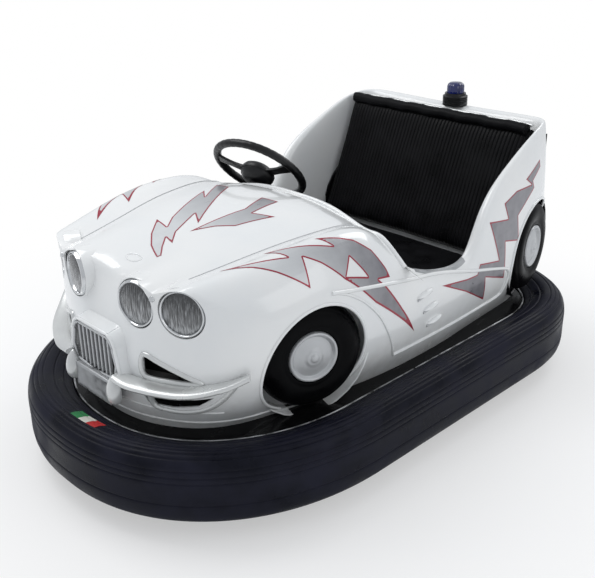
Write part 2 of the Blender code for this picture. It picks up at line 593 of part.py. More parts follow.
def build_steering():
    hub = axis_frame(STEER_CENTRE, STEER_AXIS)
    rim = bmesh.new()
    radius = STEER_DIAMETER / 2 - RIM_THICKNESS / 2
    around, across = 28, 8
    loops = []
    for k in range(around):
        a = 2 * math.pi * k / around
        loops.append([rim.verts.new(((radius + RIM_THICKNESS / 2 * math.cos(b)) * math.cos(a),
                                     (radius + RIM_THICKNESS / 2 * math.cos(b)) * math.sin(a),
                                     RIM_THICKNESS / 2 * math.sin(b)))
                      for b in (2 * math.pi * j / across for j in range(across))])
    for lower, upper in zip(loops, loops[1:] + loops[:1]):
        for j in range(across):
            n = (j + 1) % across
            rim.faces.new([lower[j], lower[n], upper[n], upper[j]])
    bmesh.ops.recalc_face_normals(rim, faces=rim.faces[:])
    wheel = add_object("steering_wheel", rim, BLACK_PLASTIC, place=hub)
    pad = turned([(0, -0.052), (0.040, -0.052), (0.052, -0.030), (0.052, -0.008), (0.040, 0.004), (0, 0.006)], 20)
    boolean(wheel, cutter_object("wheel_pad", pad, hub), "UNION")
    for angle in (20.0, 160.0, 270.0):
        spoke = box_mesh((0.030, -0.020, -0.016), (radius, 0.020, -0.006))
        turn = hub @ Matrix.Rotation(math.radians(angle), 4, "Z")
        boolean(wheel, cutter_object("wheel_spoke", spoke, turn), "UNION")

    top = -0.052 - GAP
    column = turned([(0, top), (COLUMN_RADIUS, top), (COLUMN_RADIUS, -COLUMN_LENGTH), (0, -COLUMN_LENGTH)], 20)
    add_object("steering_column", column, BLACK_PLASTIC, place=hub)

    foot = STEER_CENTRE - STEER_AXIS * COLUMN_LENGTH
    pedestal = add_object("column_pedestal",
                          box_mesh((foot.x - 0.045, foot.y - 0.030, DECK_TOP + GAP),
                                   (foot.x + 0.035, foot.y + 0.045, foot.z + 0.020)), FRAME_BLACK, smooth=0)
    bore = turned([(0, -COLUMN_LENGTH - GAP), (COLUMN_RADIUS + RUN_GAP, -COLUMN_LENGTH - GAP),
                   (COLUMN_RADIUS + RUN_GAP, 0), (0, 0)], 20)
    boolean(pedestal, cutter_object("column_bore", bore, hub))

    sole = FLOOR_TOP + GAP
    pedal = [(0.010, sole), (0.030, sole), (0.030, sole + 0.006), (0.019, sole + 0.006),
             (-0.022, sole + 0.086), (-0.030, sole + 0.082)]
    treadle = slab(pedal, 0.045, 0)
    add_object("accelerator_pedal", treadle, STEEL, smooth=0, place=Matrix.Translation((PEDAL_X, PEDAL_Y, 0)))


# ---------------------------------------------------------------- nose fittings
GRILLE_HALF = 0.098
GRILLE_LOW = 0.385
GRILLE_HIGH = 0.510
GRILLE_FACE = -0.832
GRILLE_BARS = 8

LAMPS = [  # name, middle of the lens, yaw of its face from straight ahead
    ("inner_left", Vector((0.149, -0.778, 0.615)), 12.0),
    ("outer_left", Vector((0.292, -0.734, 0.617)), 26.0),
    ("inner_right", Vector((-0.149, -0.778, 0.615)), -12.0),
    ("outer_right", Vector((-0.292, -0.734, 0.617)), -26.0),
]


def shell_core():
    """The front body thickened into a solid, to seat what is fixed on its outside."""
    core = cutter_object("shell_core", front_cage())
    wall = add_skin(core, thickness=0.035)
    wall.offset = -1.0 + 2 * SEAT_GAP / wall.thickness
    return core


def build_nose():
    core = shell_core()
    for name, centre, yaw in LAMPS:
        place = lamp_frame(centre, yaw)
        radius = LAMP_DIAMETER / 2
        ring = turned([(radius - 0.012, -0.040), (radius, -0.040), (radius, -0.012), (radius - 0.004, 0.0),
                       (radius - 0.010, 0.002), (radius - 0.012, -0.004)], 24)
        add_object("headlight_rim_" + name, ring, CHROME, place=place)
        glass = radius - 0.012 - GAP
        dome = turned([(0, -0.018), (glass, -0.018), (glass, -0.004), (glass * 0.7, 0.002), (0, 0.005)], 24)
        add_object("headlight_lens_" + name, dome, LENS, place=place)

    grille = add_object("grille", box_mesh((-GRILLE_HALF, GRILLE_FACE, GRILLE_LOW),
                                           (GRILLE_HALF, GRILLE_FACE + 0.020, GRILLE_HIGH)), SILVER, smooth=0)
    window = GRILLE_HALF - 0.010
    pitch = 2 * window / (GRILLE_BARS + 1)
    for k in range(GRILLE_BARS + 1):
        left = -window + pitch * k + 0.003
        slot = box_mesh((left, GRILLE_FACE - 0.05, GRILLE_LOW + 0.010),
                        (left + pitch - 0.006, GRILLE_FACE + 0.05, GRILLE_HIGH - 0.012))
        boolean(grille, cutter_object("grille_slot", slot))

    blade_path = [  # x, y, z, half height, stands out
        (0.105, -0.836, 0.392, 0.020, 0.022), (0.180, -0.815, 0.388, 0.020, 0.026), (0.300, -0.755, 0.392, 0.020, 0.026),
        (0.385, -0.690, 0.415, 0.019, 0.022), (0.445, -0.640, 0.450, 0.012, 0.012),
    ]
    for which, side in (("left", 1), ("right", -1)):
        bm = bmesh.new()
        loops = []
        for x, y, z, half, out in blade_path:
            loops.append([bm.verts.new((side * x, y - out * depth, z + half * rise))
                          for depth, rise in ((-1.2, -1), (0.2, -1), (1, -0.2), (0.7, 0.5), (0.1, 1), (-1.2, 1))])
        for lower, upper in zip(loops, loops[1:]):
            for j in range(6):
                n = (j + 1) % 6
                bm.faces.new([lower[j], lower[n], upper[n], upper[j]])
        bm.faces.new(loops[0])
        bm.faces.new(loops[-1])
        bmesh.ops.recalc_face_normals(bm, faces=bm.faces[:])
        blade = add_object("bumper_blade_" + which, bm, SILVER)
        boolean(blade, core)
    plate_low, plate_high = 0.305, GRILLE_LOW - 0.002
    bar = add_object("bumper_plate", box_mesh((-0.088, -0.846, plate_low), (0.088, -0.812, plate_high), 0.003, 1), SILVER)
    boolean(bar, core)


def build_beacon():
    place = Matrix.Translation((0, BEACON_Y, 0))
    foot = 0.8702
    radius = BEACON_BASE / 2
    base = turned([(0, foot), (radius, foot), (radius, foot + 0.030), (radius - 0.008, foot + 0.044),
                   (0, foot + 0.044)], 20)
    add_object("beacon_base", base, BLACK_PLASTIC, place=place)
    cap = turned([(0, foot + 0.044 + GAP), (0.0325, foot + 0.044 + GAP), (0.0325, BEACON_TOP - 0.010),
                  (0.022, BEACON_TOP), (0, BEACON_TOP)], 20)
    add_object("beacon_lens", cap, BLUE, place=place)


build_chassis()
build_drive_unit()
build_rear_axle()
build_front_body()
build_tub()
build_dummy_wheels()
build_seat()
build_steering()
build_nose()
build_beacon()
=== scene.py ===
# %% [markdown]
# # A fairground bumper car, finished on its engineering frame
# The chassis, seat, drive unit and joints come as a fixed frame. This lesson adds what the eye
# sees: the glossy one-piece body, the grooved rubber ring, padded vinyl, lamps and chrome.
# A new piece always rides on one of the frame's bodies, so that it moves as the real one does.

import math

import bpy
from mathutils import Matrix, Vector, noise
from mathutils.bvhtree import BVHTree


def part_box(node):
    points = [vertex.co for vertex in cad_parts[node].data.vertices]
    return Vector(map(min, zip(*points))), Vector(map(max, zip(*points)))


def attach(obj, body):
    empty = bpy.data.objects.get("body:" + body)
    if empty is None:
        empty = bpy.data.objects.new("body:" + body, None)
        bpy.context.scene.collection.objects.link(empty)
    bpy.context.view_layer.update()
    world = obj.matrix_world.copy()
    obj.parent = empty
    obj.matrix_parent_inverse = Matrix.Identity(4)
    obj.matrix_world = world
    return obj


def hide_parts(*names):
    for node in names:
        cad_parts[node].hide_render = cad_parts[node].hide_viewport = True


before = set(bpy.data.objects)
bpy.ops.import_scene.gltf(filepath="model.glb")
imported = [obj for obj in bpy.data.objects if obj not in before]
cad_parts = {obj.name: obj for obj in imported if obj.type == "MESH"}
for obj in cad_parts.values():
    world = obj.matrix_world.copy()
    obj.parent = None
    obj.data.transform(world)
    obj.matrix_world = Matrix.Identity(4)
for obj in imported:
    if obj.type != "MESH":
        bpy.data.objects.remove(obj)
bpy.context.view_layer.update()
print("frame loaded:", len(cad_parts), "nodes")

# %% [markdown]
# ## Selecting
# Operators act on whatever is selected, and loading leaves every node selected. So each step
# starts from an empty selection, and picks its own object.

# %% Selecting and editing
UP = Vector((0, 0, 1))


def deselect_all():
    for item in bpy.context.selected_objects:
        item.select_set(False)


def choose(item, *others):
    deselect_all()
    for each in (item, *others):
        each.select_set(True)
    bpy.context.view_layer.objects.active = item
    return item


def edit_all(item):
    choose(item)
    bpy.ops.object.mode_set(mode="EDIT")
    bpy.ops.mesh.select_mode(type="VERT")
    bpy.ops.mesh.select_all(action="SELECT")


def leave_edit():
    bpy.ops.object.mode_set(mode="OBJECT")


def edit_faces(item, wanted):
    """Enter edit mode with only the wanted faces selected."""
    edit_all(item)
    bpy.ops.mesh.select_mode(type="FACE")
    bpy.ops.mesh.select_all(action="DESELECT")
    leave_edit()
    for face in item.data.polygons:
        face.select = wanted(face)
    bpy.ops.object.mode_set(mode="EDIT")


def settle(item, place=None):
    """Bake place, turn and scale into the mesh, as the frame's own nodes have it."""
    if place is not None:
        item.matrix_world = place
    choose(item)
    bpy.ops.object.transform_apply(location=True, rotation=True, scale=True)
    return item


def tidy_mesh(item):
    """Merge doubles, and turn every face outwards."""
    edit_all(item)
    bpy.ops.mesh.remove_doubles(threshold=0.00002)
    bpy.ops.mesh.normals_make_consistent(inside=False)
    leave_edit()
    return item


def apply_all(item):
    choose(item)
    for modifier in list(item.modifiers):
        bpy.ops.object.modifier_apply(modifier=modifier.name)
    return item


def join_pieces(item, *others):
    choose(item, *others)
    bpy.ops.object.join()
    return item


def copy_piece(item, name, place=None):
    twin = item.copy()
    twin.data = item.data.copy()
    twin.name = name
    bpy.context.scene.collection.objects.link(twin)
    return settle(twin, place) if place is not None else twin


def mirror_piece(item, name):
    """A twin on the car's other side, with its faces turned outwards again."""
    twin = copy_piece(item, name, Matrix.Scale(-1.0, 4, (1, 0, 0)))
    edit_all(twin)
    bpy.ops.mesh.flip_normals()
    leave_edit()
    return twin


def hand_over(item, look, body="car", stands_for=(), angle=38.0):
    """Give a finished piece its material and shading, its body, and the nodes that it stands for."""
    choose(item)
    if angle:
        bpy.ops.object.shade_smooth_by_angle(angle=math.radians(angle))
    if look is not None:
        item.data.materials.clear()
        item.data.materials.append(look)
    item.data.name = item.name
    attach(item, body)
    if stands_for:
        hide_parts(*stands_for)
    print(f"{item.name}: {len(item.data.polygons)} faces, rides on {body}")
    return item


# %% [markdown]
# ## Drawing lines and turning them
# Much of a car is a line that was bent, swept or turned on a lathe. A line is drawn here the way
# it is in edit mode: a plane is merged to one point, and the point is extruded onwards.

# %% Lines, lathe work and tubes
def draw_line(name, points, closed=False, filled=False):
    deselect_all()
    bpy.ops.mesh.primitive_plane_add(size=0.01, location=points[0])
    item = bpy.context.object
    item.name = name
    edit_all(item)
    bpy.ops.mesh.merge(type="CENTER")
    for here, there in zip(points, points[1:]):
        step = Vector(there) - Vector(here)
        bpy.ops.mesh.extrude_vertices_move(TRANSFORM_OT_translate={"value": tuple(step)})
    if closed:
        bpy.ops.mesh.select_all(action="SELECT")
        bpy.ops.mesh.edge_face_add()
        if not filled:
            bpy.ops.mesh.delete(type="ONLY_FACE")
    leave_edit()
    return settle(item)


def turn_on_lathe(name, profile, place, segments=72, closed=False):
    """Spin a (radius, height) line a full turn about local Z, then put it in its place."""
    item = draw_line(name, [(radius, 0.0, height) for radius, height in profile], closed)
    edit_all(item)
    bpy.ops.mesh.spin(steps=segments, angle=2 * math.pi, center=(0, 0, 0), axis=(0, 0, 1))
    leave_edit()
    return settle(tidy_mesh(item), place)


def smooth_path(points, steps=8, closed=False):
    """A Catmull-Rom curve through the points, as a longer list of points."""
    points = [Vector(p) for p in points]
    count = len(points)
    last = count if closed else count - 1
    path = []
    for k in range(last):
        if closed:
            a, b, c, d = (points[(k + j - 1) % count] for j in range(4))
        else:
            a, b, c, d = (points[min(max(k + j - 1, 0), count - 1)] for j in range(4))
        for step in range(steps):
            t = step / steps
            path.append(0.5 * (2 * b + (c - a) * t + (2 * a - 5 * b + 4 * c - d) * t * t
                               + (3 * b - a - 3 * c + d) * t ** 3))
    if not closed:
        path.append(points[-1])
    return path


def tube_along(name, points, radius, closed=False, sides=3):
    """A round bead along a line: the line becomes a curve, is given a bevel, and becomes a mesh."""
    item = draw_line(name, points, closed)
    choose(item)
    bpy.ops.object.convert(target="CURVE")
    item = bpy.context.object
    item.data.bevel_depth = radius
    item.data.bevel_resolution = sides
    item.data.use_fill_caps = not closed
    bpy.ops.object.convert(target="MESH")
    item = bpy.context.object
    item.name = name
    return tidy_mesh(item)


def axis_frame(centre, axis):
    """A matrix whose local Z runs along axis and whose local X stays level."""
    up = Vector(axis).normalized()
    side = UP.cross(up)
    side = Vector((1, 0, 0)) if side.length < 1e-6 else side.normalized()
    return Matrix.Translation(centre) @ Matrix((side, up.cross(side), up)).transposed().to_4x4()


# %% [markdown]
# ## Camera
# The car is seen from its left front corner, a little above. Aiming by azimuth and elevation
# keeps the numbers readable; a slight roll matches a hand-held shot.

# %% Camera
VIEW_AZIMUTH = 46.11
VIEW_ELEVATION = 24.05
VIEW_DISTANCE = 2.856
VIEW_TARGET = Vector((0.070, -0.109, 0.420))
VIEW_ROLL = -0.76
VIEW_LENS = 53.0


def aim_camera():
    azimuth, elevation = math.radians(VIEW_AZIMUTH), math.radians(VIEW_ELEVATION)
    back = Vector((math.sin(azimuth) * math.cos(elevation), -math.cos(azimuth) * math.cos(elevation),
                   math.sin(elevation)))
    right = (-back).cross(UP).normalized()
    up = right.cross(-back)
    roll = math.radians(VIEW_ROLL)
    rolled_right = right * math.cos(roll) + up * math.sin(roll)
    rolled_up = up * math.cos(roll) - right * math.sin(roll)
    deselect_all()
    bpy.ops.object.camera_add()
    camera = bpy.context.object
    camera.name = "view_camera"
    turn = Matrix((rolled_right, rolled_up, back)).transposed().to_4x4()
    camera.matrix_world = Matrix.Translation(VIEW_TARGET + back * VIEW_DISTANCE) @ turn
    camera.data.lens = VIEW_LENS
    bpy.context.scene.camera = camera
    return camera


print("camera stands at", [round(v, 3) for v in aim_camera().matrix_world.translation])

# %% [markdown]
# ## Floor, backdrop and light
# White goods need a white surround without too much light on them. The world is white only for
# the camera, and the floor is pale and keeps the shadow.

# %% Studio
def build_floor():
    deselect_all()
    bpy.ops.mesh.primitive_circle_add(vertices=96, radius=9.0, fill_type="NGON", location=(0, 0, 0))
    floor = bpy.context.object
    floor.name = "studio_floor"
    look = bpy.data.materials.new("studio_floor_paint")
    look.use_nodes = True
    nodes, links = look.node_tree.nodes, look.node_tree.links
    shader = nodes["Principled BSDF"]
    shader.inputs["Base Color"].default_value = (0.93, 0.93, 0.93, 1.0)
    shader.inputs["Roughness"].default_value = 0.9
    place = nodes.new("ShaderNodeTexCoord")
    away = nodes.new("ShaderNodeVectorMath")
    away.operation = "LENGTH"
    edge = nodes.new("ShaderNodeMapRange")
    edge.interpolation_type = "SMOOTHSTEP"
    edge.inputs["From Min"].default_value = 0.9
    edge.inputs["From Max"].default_value = 2.0
    edge.inputs["To Min"].default_value = 0.45
    path = nodes.new("ShaderNodeLightPath")
    seen = nodes.new("ShaderNodeMath")
    seen.operation = "MULTIPLY"
    white = nodes.new("ShaderNodeEmission")
    mix = nodes.new("ShaderNodeMixShader")
    links.new(place.outputs["Object"], away.inputs[0])
    links.new(away.outputs["Value"], edge.inputs["Value"])
    links.new(edge.outputs["Result"], seen.inputs[0])
    links.new(path.outputs["Is Camera Ray"], seen.inputs[1])
    links.new(seen.outputs["Value"], mix.inputs["Fac"])
    links.new(shader.outputs["BSDF"], mix.inputs[1])
    links.new(white.outputs["Emission"], mix.inputs[2])
    links.new(mix.outputs["Shader"], nodes["Material Output"].inputs["Surface"])
    floor.data.materials.append(look)


def build_world():
    world = bpy.data.worlds.new("studio_world")
    bpy.context.scene.world = world
    world.use_nodes = True
    nodes, links = world.node_tree.nodes, world.node_tree.links
    sky = nodes["Background"]
    sky.inputs["Color"].default_value = (0.93, 0.96, 1.0, 1.0)
    sky.inputs["Strength"].default_value = 0.66
    white = nodes.new("ShaderNodeBackground")
    white.inputs["Color"].default_value = (1.0, 1.0, 1.0, 1.0)
    white.inputs["Strength"].default_value = 1.0
    path = nodes.new("ShaderNodeLightPath")
    mix = nodes.new("ShaderNodeMixShader")
    links.new(path.outputs["Is Camera Ray"], mix.inputs["Fac"])
    links.new(sky.outputs["Background"], mix.inputs[1])
    links.new(white.outputs["Background"], mix.inputs[2])
    links.new(mix.outputs["Shader"], nodes["World Output"].inputs["Surface"])


STUDIO_LAMPS = [  # name, place, size, watts
    ("key_light", Vector((-1.6, -1.0, 3.4)), 2.2, 50.0),
    ("fill_light", Vector((3.2, 0.6, 2.0)), 2.0, 12.0),
    ("back_light", Vector((0.4, 3.0, 2.8)), 1.6, 22.0),
]


def build_lamps():
    for name, place, size, watts in STUDIO_LAMPS:
        deselect_all()
        bpy.ops.object.light_add(type="AREA", location=place)
        lamp = bpy.context.object
        lamp.name = name
        lamp.data.size = size
        lamp.data.energy = watts
        lamp.rotation_euler = (Vector((0, 0, 0.4)) - place).to_track_quat("-Z", "Y").to_euler()


build_floor()
build_world()
build_lamps()
bpy.context.scene.view_settings.view_transform = "Standard"
print("studio has", len(STUDIO_LAMPS), "lamps")

# %% [markdown]
# ## Shader groups
# Several finishes need the same wear, so each effect is a node group, built once. A group only
# puts out masks and heights; the shader itself stays in the material.

# %% Node groups
def start_group(name, inputs, outputs):
    group = bpy.data.node_groups.new(name, "ShaderNodeTree")
    for socket in inputs:
        group.interface.new_socket(socket, in_out="INPUT", socket_type="NodeSocketFloat")
    for socket in outputs:
        group.interface.new_socket(socket, in_out="OUTPUT", socket_type="NodeSocketFloat")
    return group, group.nodes.new("NodeGroupInput"), group.nodes.new("NodeGroupOutput")


def make_grain_group():
    """Noise at two scales: a slow mottle for colour and gloss, and a fine grain for relief."""
    group, entry, leave = start_group("surface_grain", ("Mottle Scale", "Grain Scale"), ("Mottle", "Grain"))
    nodes, links = group.nodes, group.links
    place = nodes.new("ShaderNodeTexCoord")
    for socket, detail in (("Mottle", 5.0), ("Grain", 3.0)):
        cloud = nodes.new("ShaderNodeTexNoise")
        cloud.inputs["Detail"].default_value = detail
        links.new(place.outputs["Object"], cloud.inputs["Vector"])
        links.new(entry.outputs[socket + " Scale"], cloud.inputs["Scale"])
        links.new(cloud.outputs["Fac"], leave.inputs[socket])
    return group


def make_dust_group():
    """Track dust: strongest low down, broken up by noise."""
    group, entry, leave = start_group("track_dust", ("Low Height", "High Height", "Amount"), ("Dust",))
    nodes, links = group.nodes, group.links
    place = nodes.new("ShaderNodeTexCoord")
    split = nodes.new("ShaderNodeSeparateXYZ")
    fade = nodes.new("ShaderNodeMapRange")
    fade.inputs["To Min"].default_value = 1.0
    fade.inputs["To Max"].default_value = 0.0
    cloud = nodes.new("ShaderNodeTexNoise")
    cloud.inputs["Scale"].default_value = 26.0
    cloud.inputs["Detail"].default_value = 6.0
    patchy = nodes.new("ShaderNodeMapRange")
    patchy.inputs["From Min"].default_value = 0.35
    patchy.inputs["From Max"].default_value = 0.75
    blend = nodes.new("ShaderNodeMath")
    blend.operation = "MULTIPLY"
    strength = nodes.new("ShaderNodeMath")
    strength.operation = "MULTIPLY"
    links.new(place.outputs["Object"], split.inputs["Vector"])
    links.new(place.outputs["Object"], cloud.inputs["Vector"])
    links.new(split.outputs["Z"], fade.inputs["Value"])
    links.new(entry.outputs["Low Height"], fade.inputs["From Min"])
    links.new(entry.outputs["High Height"], fade.inputs["From Max"])
    links.new(cloud.outputs["Fac"], patchy.inputs["Value"])
    links.new(fade.outputs["Result"], blend.inputs[0])
    links.new(patchy.outputs["Result"], blend.inputs[1])
    links.new(blend.outputs["Value"], strength.inputs[0])
    links.new(entry.outputs["Amount"], strength.inputs[1])
    links.new(strength.outputs["Value"], leave.inputs["Dust"])
    return group


def make_scuff_group():
    """Long thin scratches, as rubber and deck paint get from shoes and other cars."""
    group, entry, leave = start_group("scuffs", ("Scale", "Amount"), ("Scuff",))
    nodes, links = group.nodes, group.links
    place = nodes.new("ShaderNodeTexCoord")
    stretch = nodes.new("ShaderNodeMapping")
    stretch.inputs["Scale"].default_value = (1.0, 0.12, 1.0)
    cloud = nodes.new("ShaderNodeTexNoise")
    cloud.inputs["Detail"].default_value = 8.0
    cloud.inputs["Roughness"].default_value = 0.7
    narrow = nodes.new("ShaderNodeMapRange")
    narrow.inputs["From Min"].default_value = 0.60
    narrow.inputs["From Max"].default_value = 0.72
    strength = nodes.new("ShaderNodeMath")
    strength.operation = "MULTIPLY"
    links.new(place.outputs["Object"], stretch.inputs["Vector"])
    links.new(stretch.outputs["Vector"], cloud.inputs["Vector"])
    links.new(entry.outputs["Scale"], cloud.inputs["Scale"])
    links.new(cloud.outputs["Fac"], narrow.inputs["Value"])
    links.new(narrow.outputs["Result"], strength.inputs[0])
    links.new(entry.outputs["Amount"], strength.inputs[1])
    links.new(strength.outputs["Value"], leave.inputs["Scuff"])
    return group


GRAIN = make_grain_group()
DUST = make_dust_group()
SCUFFS = make_scuff_group()
print("node groups:", GRAIN.name, DUST.name, SCUFFS.name)

# %% [markdown]
# ## Finishes
# One function makes every finish from its own values: two close colours that wander, a gloss
# that wanders with them, fine relief, and then dust and scuffs where the real surface has them.

# %% A finish from plain values
def place_group(look, group, **values):
    node = look.node_tree.nodes.new("ShaderNodeGroup")
    node.node_tree = group
    for socket, value in values.items():
        node.inputs[socket.replace("_", " ").title()].default_value = value
    return node


def lay_over(look, under, mask, colour):
    """Mix a colour over another one where the mask is white."""
    nodes, links = look.node_tree.nodes, look.node_tree.links
    mix = nodes.new("ShaderNodeMix")
    mix.data_type = "RGBA"
    mix.inputs["B"].default_value = (*colour, 1.0)
    links.new(mask, mix.inputs["Factor"])
    links.new(under, mix.inputs["A"])
    return mix.outputs["Result"]


def finish(name, dark, light, rough, metallic=0.0, mottle=9.0, grain=400.0, bump=0.02, coat=0.0,
           spread=0.1, shine=0.5, dust=None, scuffs=None):
    look = bpy.data.materials.new(name)
    look.use_nodes = True
    look.diffuse_color = (*light, 1.0)
    nodes, links = look.node_tree.nodes, look.node_tree.links
    shader = nodes["Principled BSDF"]
    shader.inputs["Metallic"].default_value = metallic
    shader.inputs["Coat Weight"].default_value = coat
    shader.inputs["Specular IOR Level"].default_value = shine
    shader.inputs["Coat Roughness"].default_value = 0.04
    wear = place_group(look, GRAIN, mottle_scale=mottle, grain_scale=grain)
    ramp = nodes.new("ShaderNodeValToRGB")
    ramp.color_ramp.elements[0].position = 0.35
    ramp.color_ramp.elements[0].color = (*dark, 1.0)
    ramp.color_ramp.elements[1].position = 0.65
    ramp.color_ramp.elements[1].color = (*light, 1.0)
    links.new(wear.outputs["Mottle"], ramp.inputs["Fac"])
    colour = ramp.outputs["Color"]
    gloss = nodes.new("ShaderNodeMapRange")
    gloss.inputs["From Min"].default_value = 0.3
    gloss.inputs["From Max"].default_value = 0.7
    gloss.inputs["To Min"].default_value = rough * (1.0 - spread)
    gloss.inputs["To Max"].default_value = rough * (1.0 + spread * 2.0)
    links.new(wear.outputs["Mottle"], gloss.inputs["Value"])
    roughness = gloss.outputs["Result"]
    for group, values in ((SCUFFS, scuffs), (DUST, dust)):
        if values is None:
            continue
        values = dict(values)
        tint = values.pop("tint")
        node = place_group(look, group, **values)
        colour = lay_over(look, colour, node.outputs[0], tint)
        dulled = nodes.new("ShaderNodeMath")
        dulled.operation = "MULTIPLY_ADD"
        dulled.inputs[1].default_value = 0.5
        links.new(node.outputs[0], dulled.inputs[0])
        links.new(roughness, dulled.inputs[2])
        roughness = dulled.outputs["Value"]
    links.new(colour, shader.inputs["Base Color"])
    links.new(roughness, shader.inputs["Roughness"])
    relief = nodes.new("ShaderNodeBump")
    relief.inputs["Strength"].default_value = bump
    relief.inputs["Distance"].default_value = 0.001
    links.new(wear.outputs["Grain"], relief.inputs["Height"])
    links.new(relief.outputs["Normal"], shader.inputs["Normal"])
    return look


# %% Finishes of this car
LOW_DUST = {"low_height": 0.24, "high_height": 0.42, "amount": 0.35, "tint": (0.42, 0.40, 0.36)}
RUBBER_DUST = {"low_height": 0.0, "high_height": 0.40, "amount": 0.05, "tint": (0.05, 0.05, 0.06)}
DECK_DUST = {"low_height": 0.0, "high_height": 0.60, "amount": 0.05, "tint": (0.10, 0.10, 0.10)}
RUBBER_SCUFFS = {"scale": 14.0, "amount": 0.12, "tint": (0.045, 0.047, 0.062)}
DECK_SCUFFS = {"scale": 22.0, "amount": 0.20, "tint": (0.16, 0.16, 0.16)}

GEL_COAT = finish("white_gel_coat", (0.80, 0.815, 0.82), (0.84, 0.845, 0.84), 0.15, coat=0.6, mottle=5.0,
                  bump=0.008, dust=LOW_DUST)
RING_RUBBER = finish("ring_rubber", (0.0045, 0.005, 0.010), (0.012, 0.0125, 0.023), 0.34, bump=0.3,
                     spread=0.35, shine=0.10, dust=RUBBER_DUST, scuffs=RUBBER_SCUFFS)
DECK_PAINT = finish("deck_gloss_black", (0.002, 0.002, 0.0025), (0.005, 0.005, 0.0055), 0.16, coat=0.0,
                    spread=0.6, shine=0.16, dust=DECK_DUST, scuffs=DECK_SCUFFS)
FRAME_PAINT = finish("frame_satin_black", (0.015, 0.015, 0.016), (0.035, 0.034, 0.033), 0.45, bump=0.2,
                     dust=RUBBER_DUST)
VINYL = finish("black_vinyl", (0.0025, 0.0025, 0.003), (0.006, 0.006, 0.007), 0.34, grain=700.0, bump=0.5,
               mottle=14.0, spread=0.3, shine=0.08)
PLASTIC = finish("black_plastic", (0.004, 0.004, 0.0045), (0.009, 0.009, 0.010), 0.30, grain=900.0,
                 bump=0.15, shine=0.35)
TYRE_BLACK = finish("dummy_tyre_black", (0.002, 0.002, 0.0025), (0.005, 0.005, 0.0055), 0.30, bump=0.12,
                    spread=0.4, shine=0.05)
SILVER = finish("satin_silver", (0.50, 0.51, 0.52), (0.56, 0.57, 0.58), 0.36, metallic=0.45, bump=0.04,
                spread=0.2)
BRUSHED = finish("brushed_silver", (0.36, 0.37, 0.38), (0.46, 0.47, 0.48), 0.38, metallic=0.8, mottle=40.0,
                 bump=0.2, spread=0.3)
BLADE = finish("bumper_pearl_silver", (0.62, 0.63, 0.63), (0.70, 0.71, 0.70), 0.24, metallic=0.35, coat=0.4)
CHROME = finish("lamp_chrome", (0.62, 0.63, 0.64), (0.74, 0.75, 0.76), 0.09, metallic=1.0, bump=0.02)
STEEL = finish("machined_steel", (0.34, 0.34, 0.35), (0.44, 0.44, 0.45), 0.36, metallic=1.0, bump=0.15)
MOTOR = finish("motor_casting", (0.07, 0.08, 0.09), (0.12, 0.13, 0.14), 0.5, bump=0.5, dust=RUBBER_DUST)
TREAD = finish("solid_tread", (0.016, 0.016, 0.016), (0.035, 0.034, 0.032), 0.75, bump=0.4,
               dust=RUBBER_DUST)
# Flat black for the plates behind the grille and the air intakes: painted shadow.
SHADOW = finish("painted_shadow_black", (0.002, 0.002, 0.002), (0.004, 0.004, 0.004), 0.6, shine=0.1)
BLUE_CAP = finish("beacon_blue", (0.002, 0.006, 0.07), (0.006, 0.02, 0.20), 0.10, bump=0.0, coat=0.6)
LIP_STEEL = finish("worn_deck_lip", (0.03, 0.03, 0.03), (0.62, 0.63, 0.64), 0.30, metallic=0.8, mottle=16.0,
                   bump=0.3, spread=0.4)
print("finishes made:", len(bpy.data.materials))

# %% Finishes for the frame's own nodes
NODE_LOOKS = [  # start of the node's name, finish
    ("bumper_tyre", RING_RUBBER), ("chassis_deck", DECK_PAINT), ("cockpit_floor", DECK_PAINT),
    ("chassis_frame", FRAME_PAINT), ("rear_axle", FRAME_PAINT), ("column_pedestal", FRAME_PAINT),
    ("body_", GEL_COAT), ("seat_pedestal", GEL_COAT), ("seat_back_board", GEL_COAT),
    ("seat_cushion", VINYL), ("seat_back", VINYL), ("steering_", PLASTIC), ("beacon_base", PLASTIC),
    ("beacon_lens", BLUE_CAP), ("grille", SILVER), ("bumper_blade", BLADE), ("bumper_plate", BRUSHED),
    ("accelerator_pedal", STEEL), ("drive_bearing", STEEL), ("drive_wheel_hub", STEEL),
    ("drive_unit", MOTOR), ("drive_wheel_tyre", TREAD), ("rear_wheel_", TREAD),
    ("arch_liner_front", GEL_COAT),
    # Rear liners in black: painted shade for the dark gap between each rear wheel and the body.
    ("arch_liner_rear", PLASTIC),
    ("wheel_tyre_", TYRE_BLACK), ("wheel_cap_", SILVER), ("headlight_rim_", CHROME),
    ("headlight_lens_", SILVER),
]
for node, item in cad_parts.items():
    look = next(look for start, look in NODE_LOOKS if node.startswith(start))
    item.data.materials.clear()
    item.data.materials.append(look)
print("finishes on", len(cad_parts), "frame nodes")

# %% [markdown]
# ## The one-piece body
# The real shell is a single glass-fibre moulding: bonnet, wings, sills, seat sides and tail. Box
# modelling could get there, but its long creases are easier to steer on a lofted cage, so the
# cage's rows are given as sections, joined with quads, and rounded by a subdivision surface.

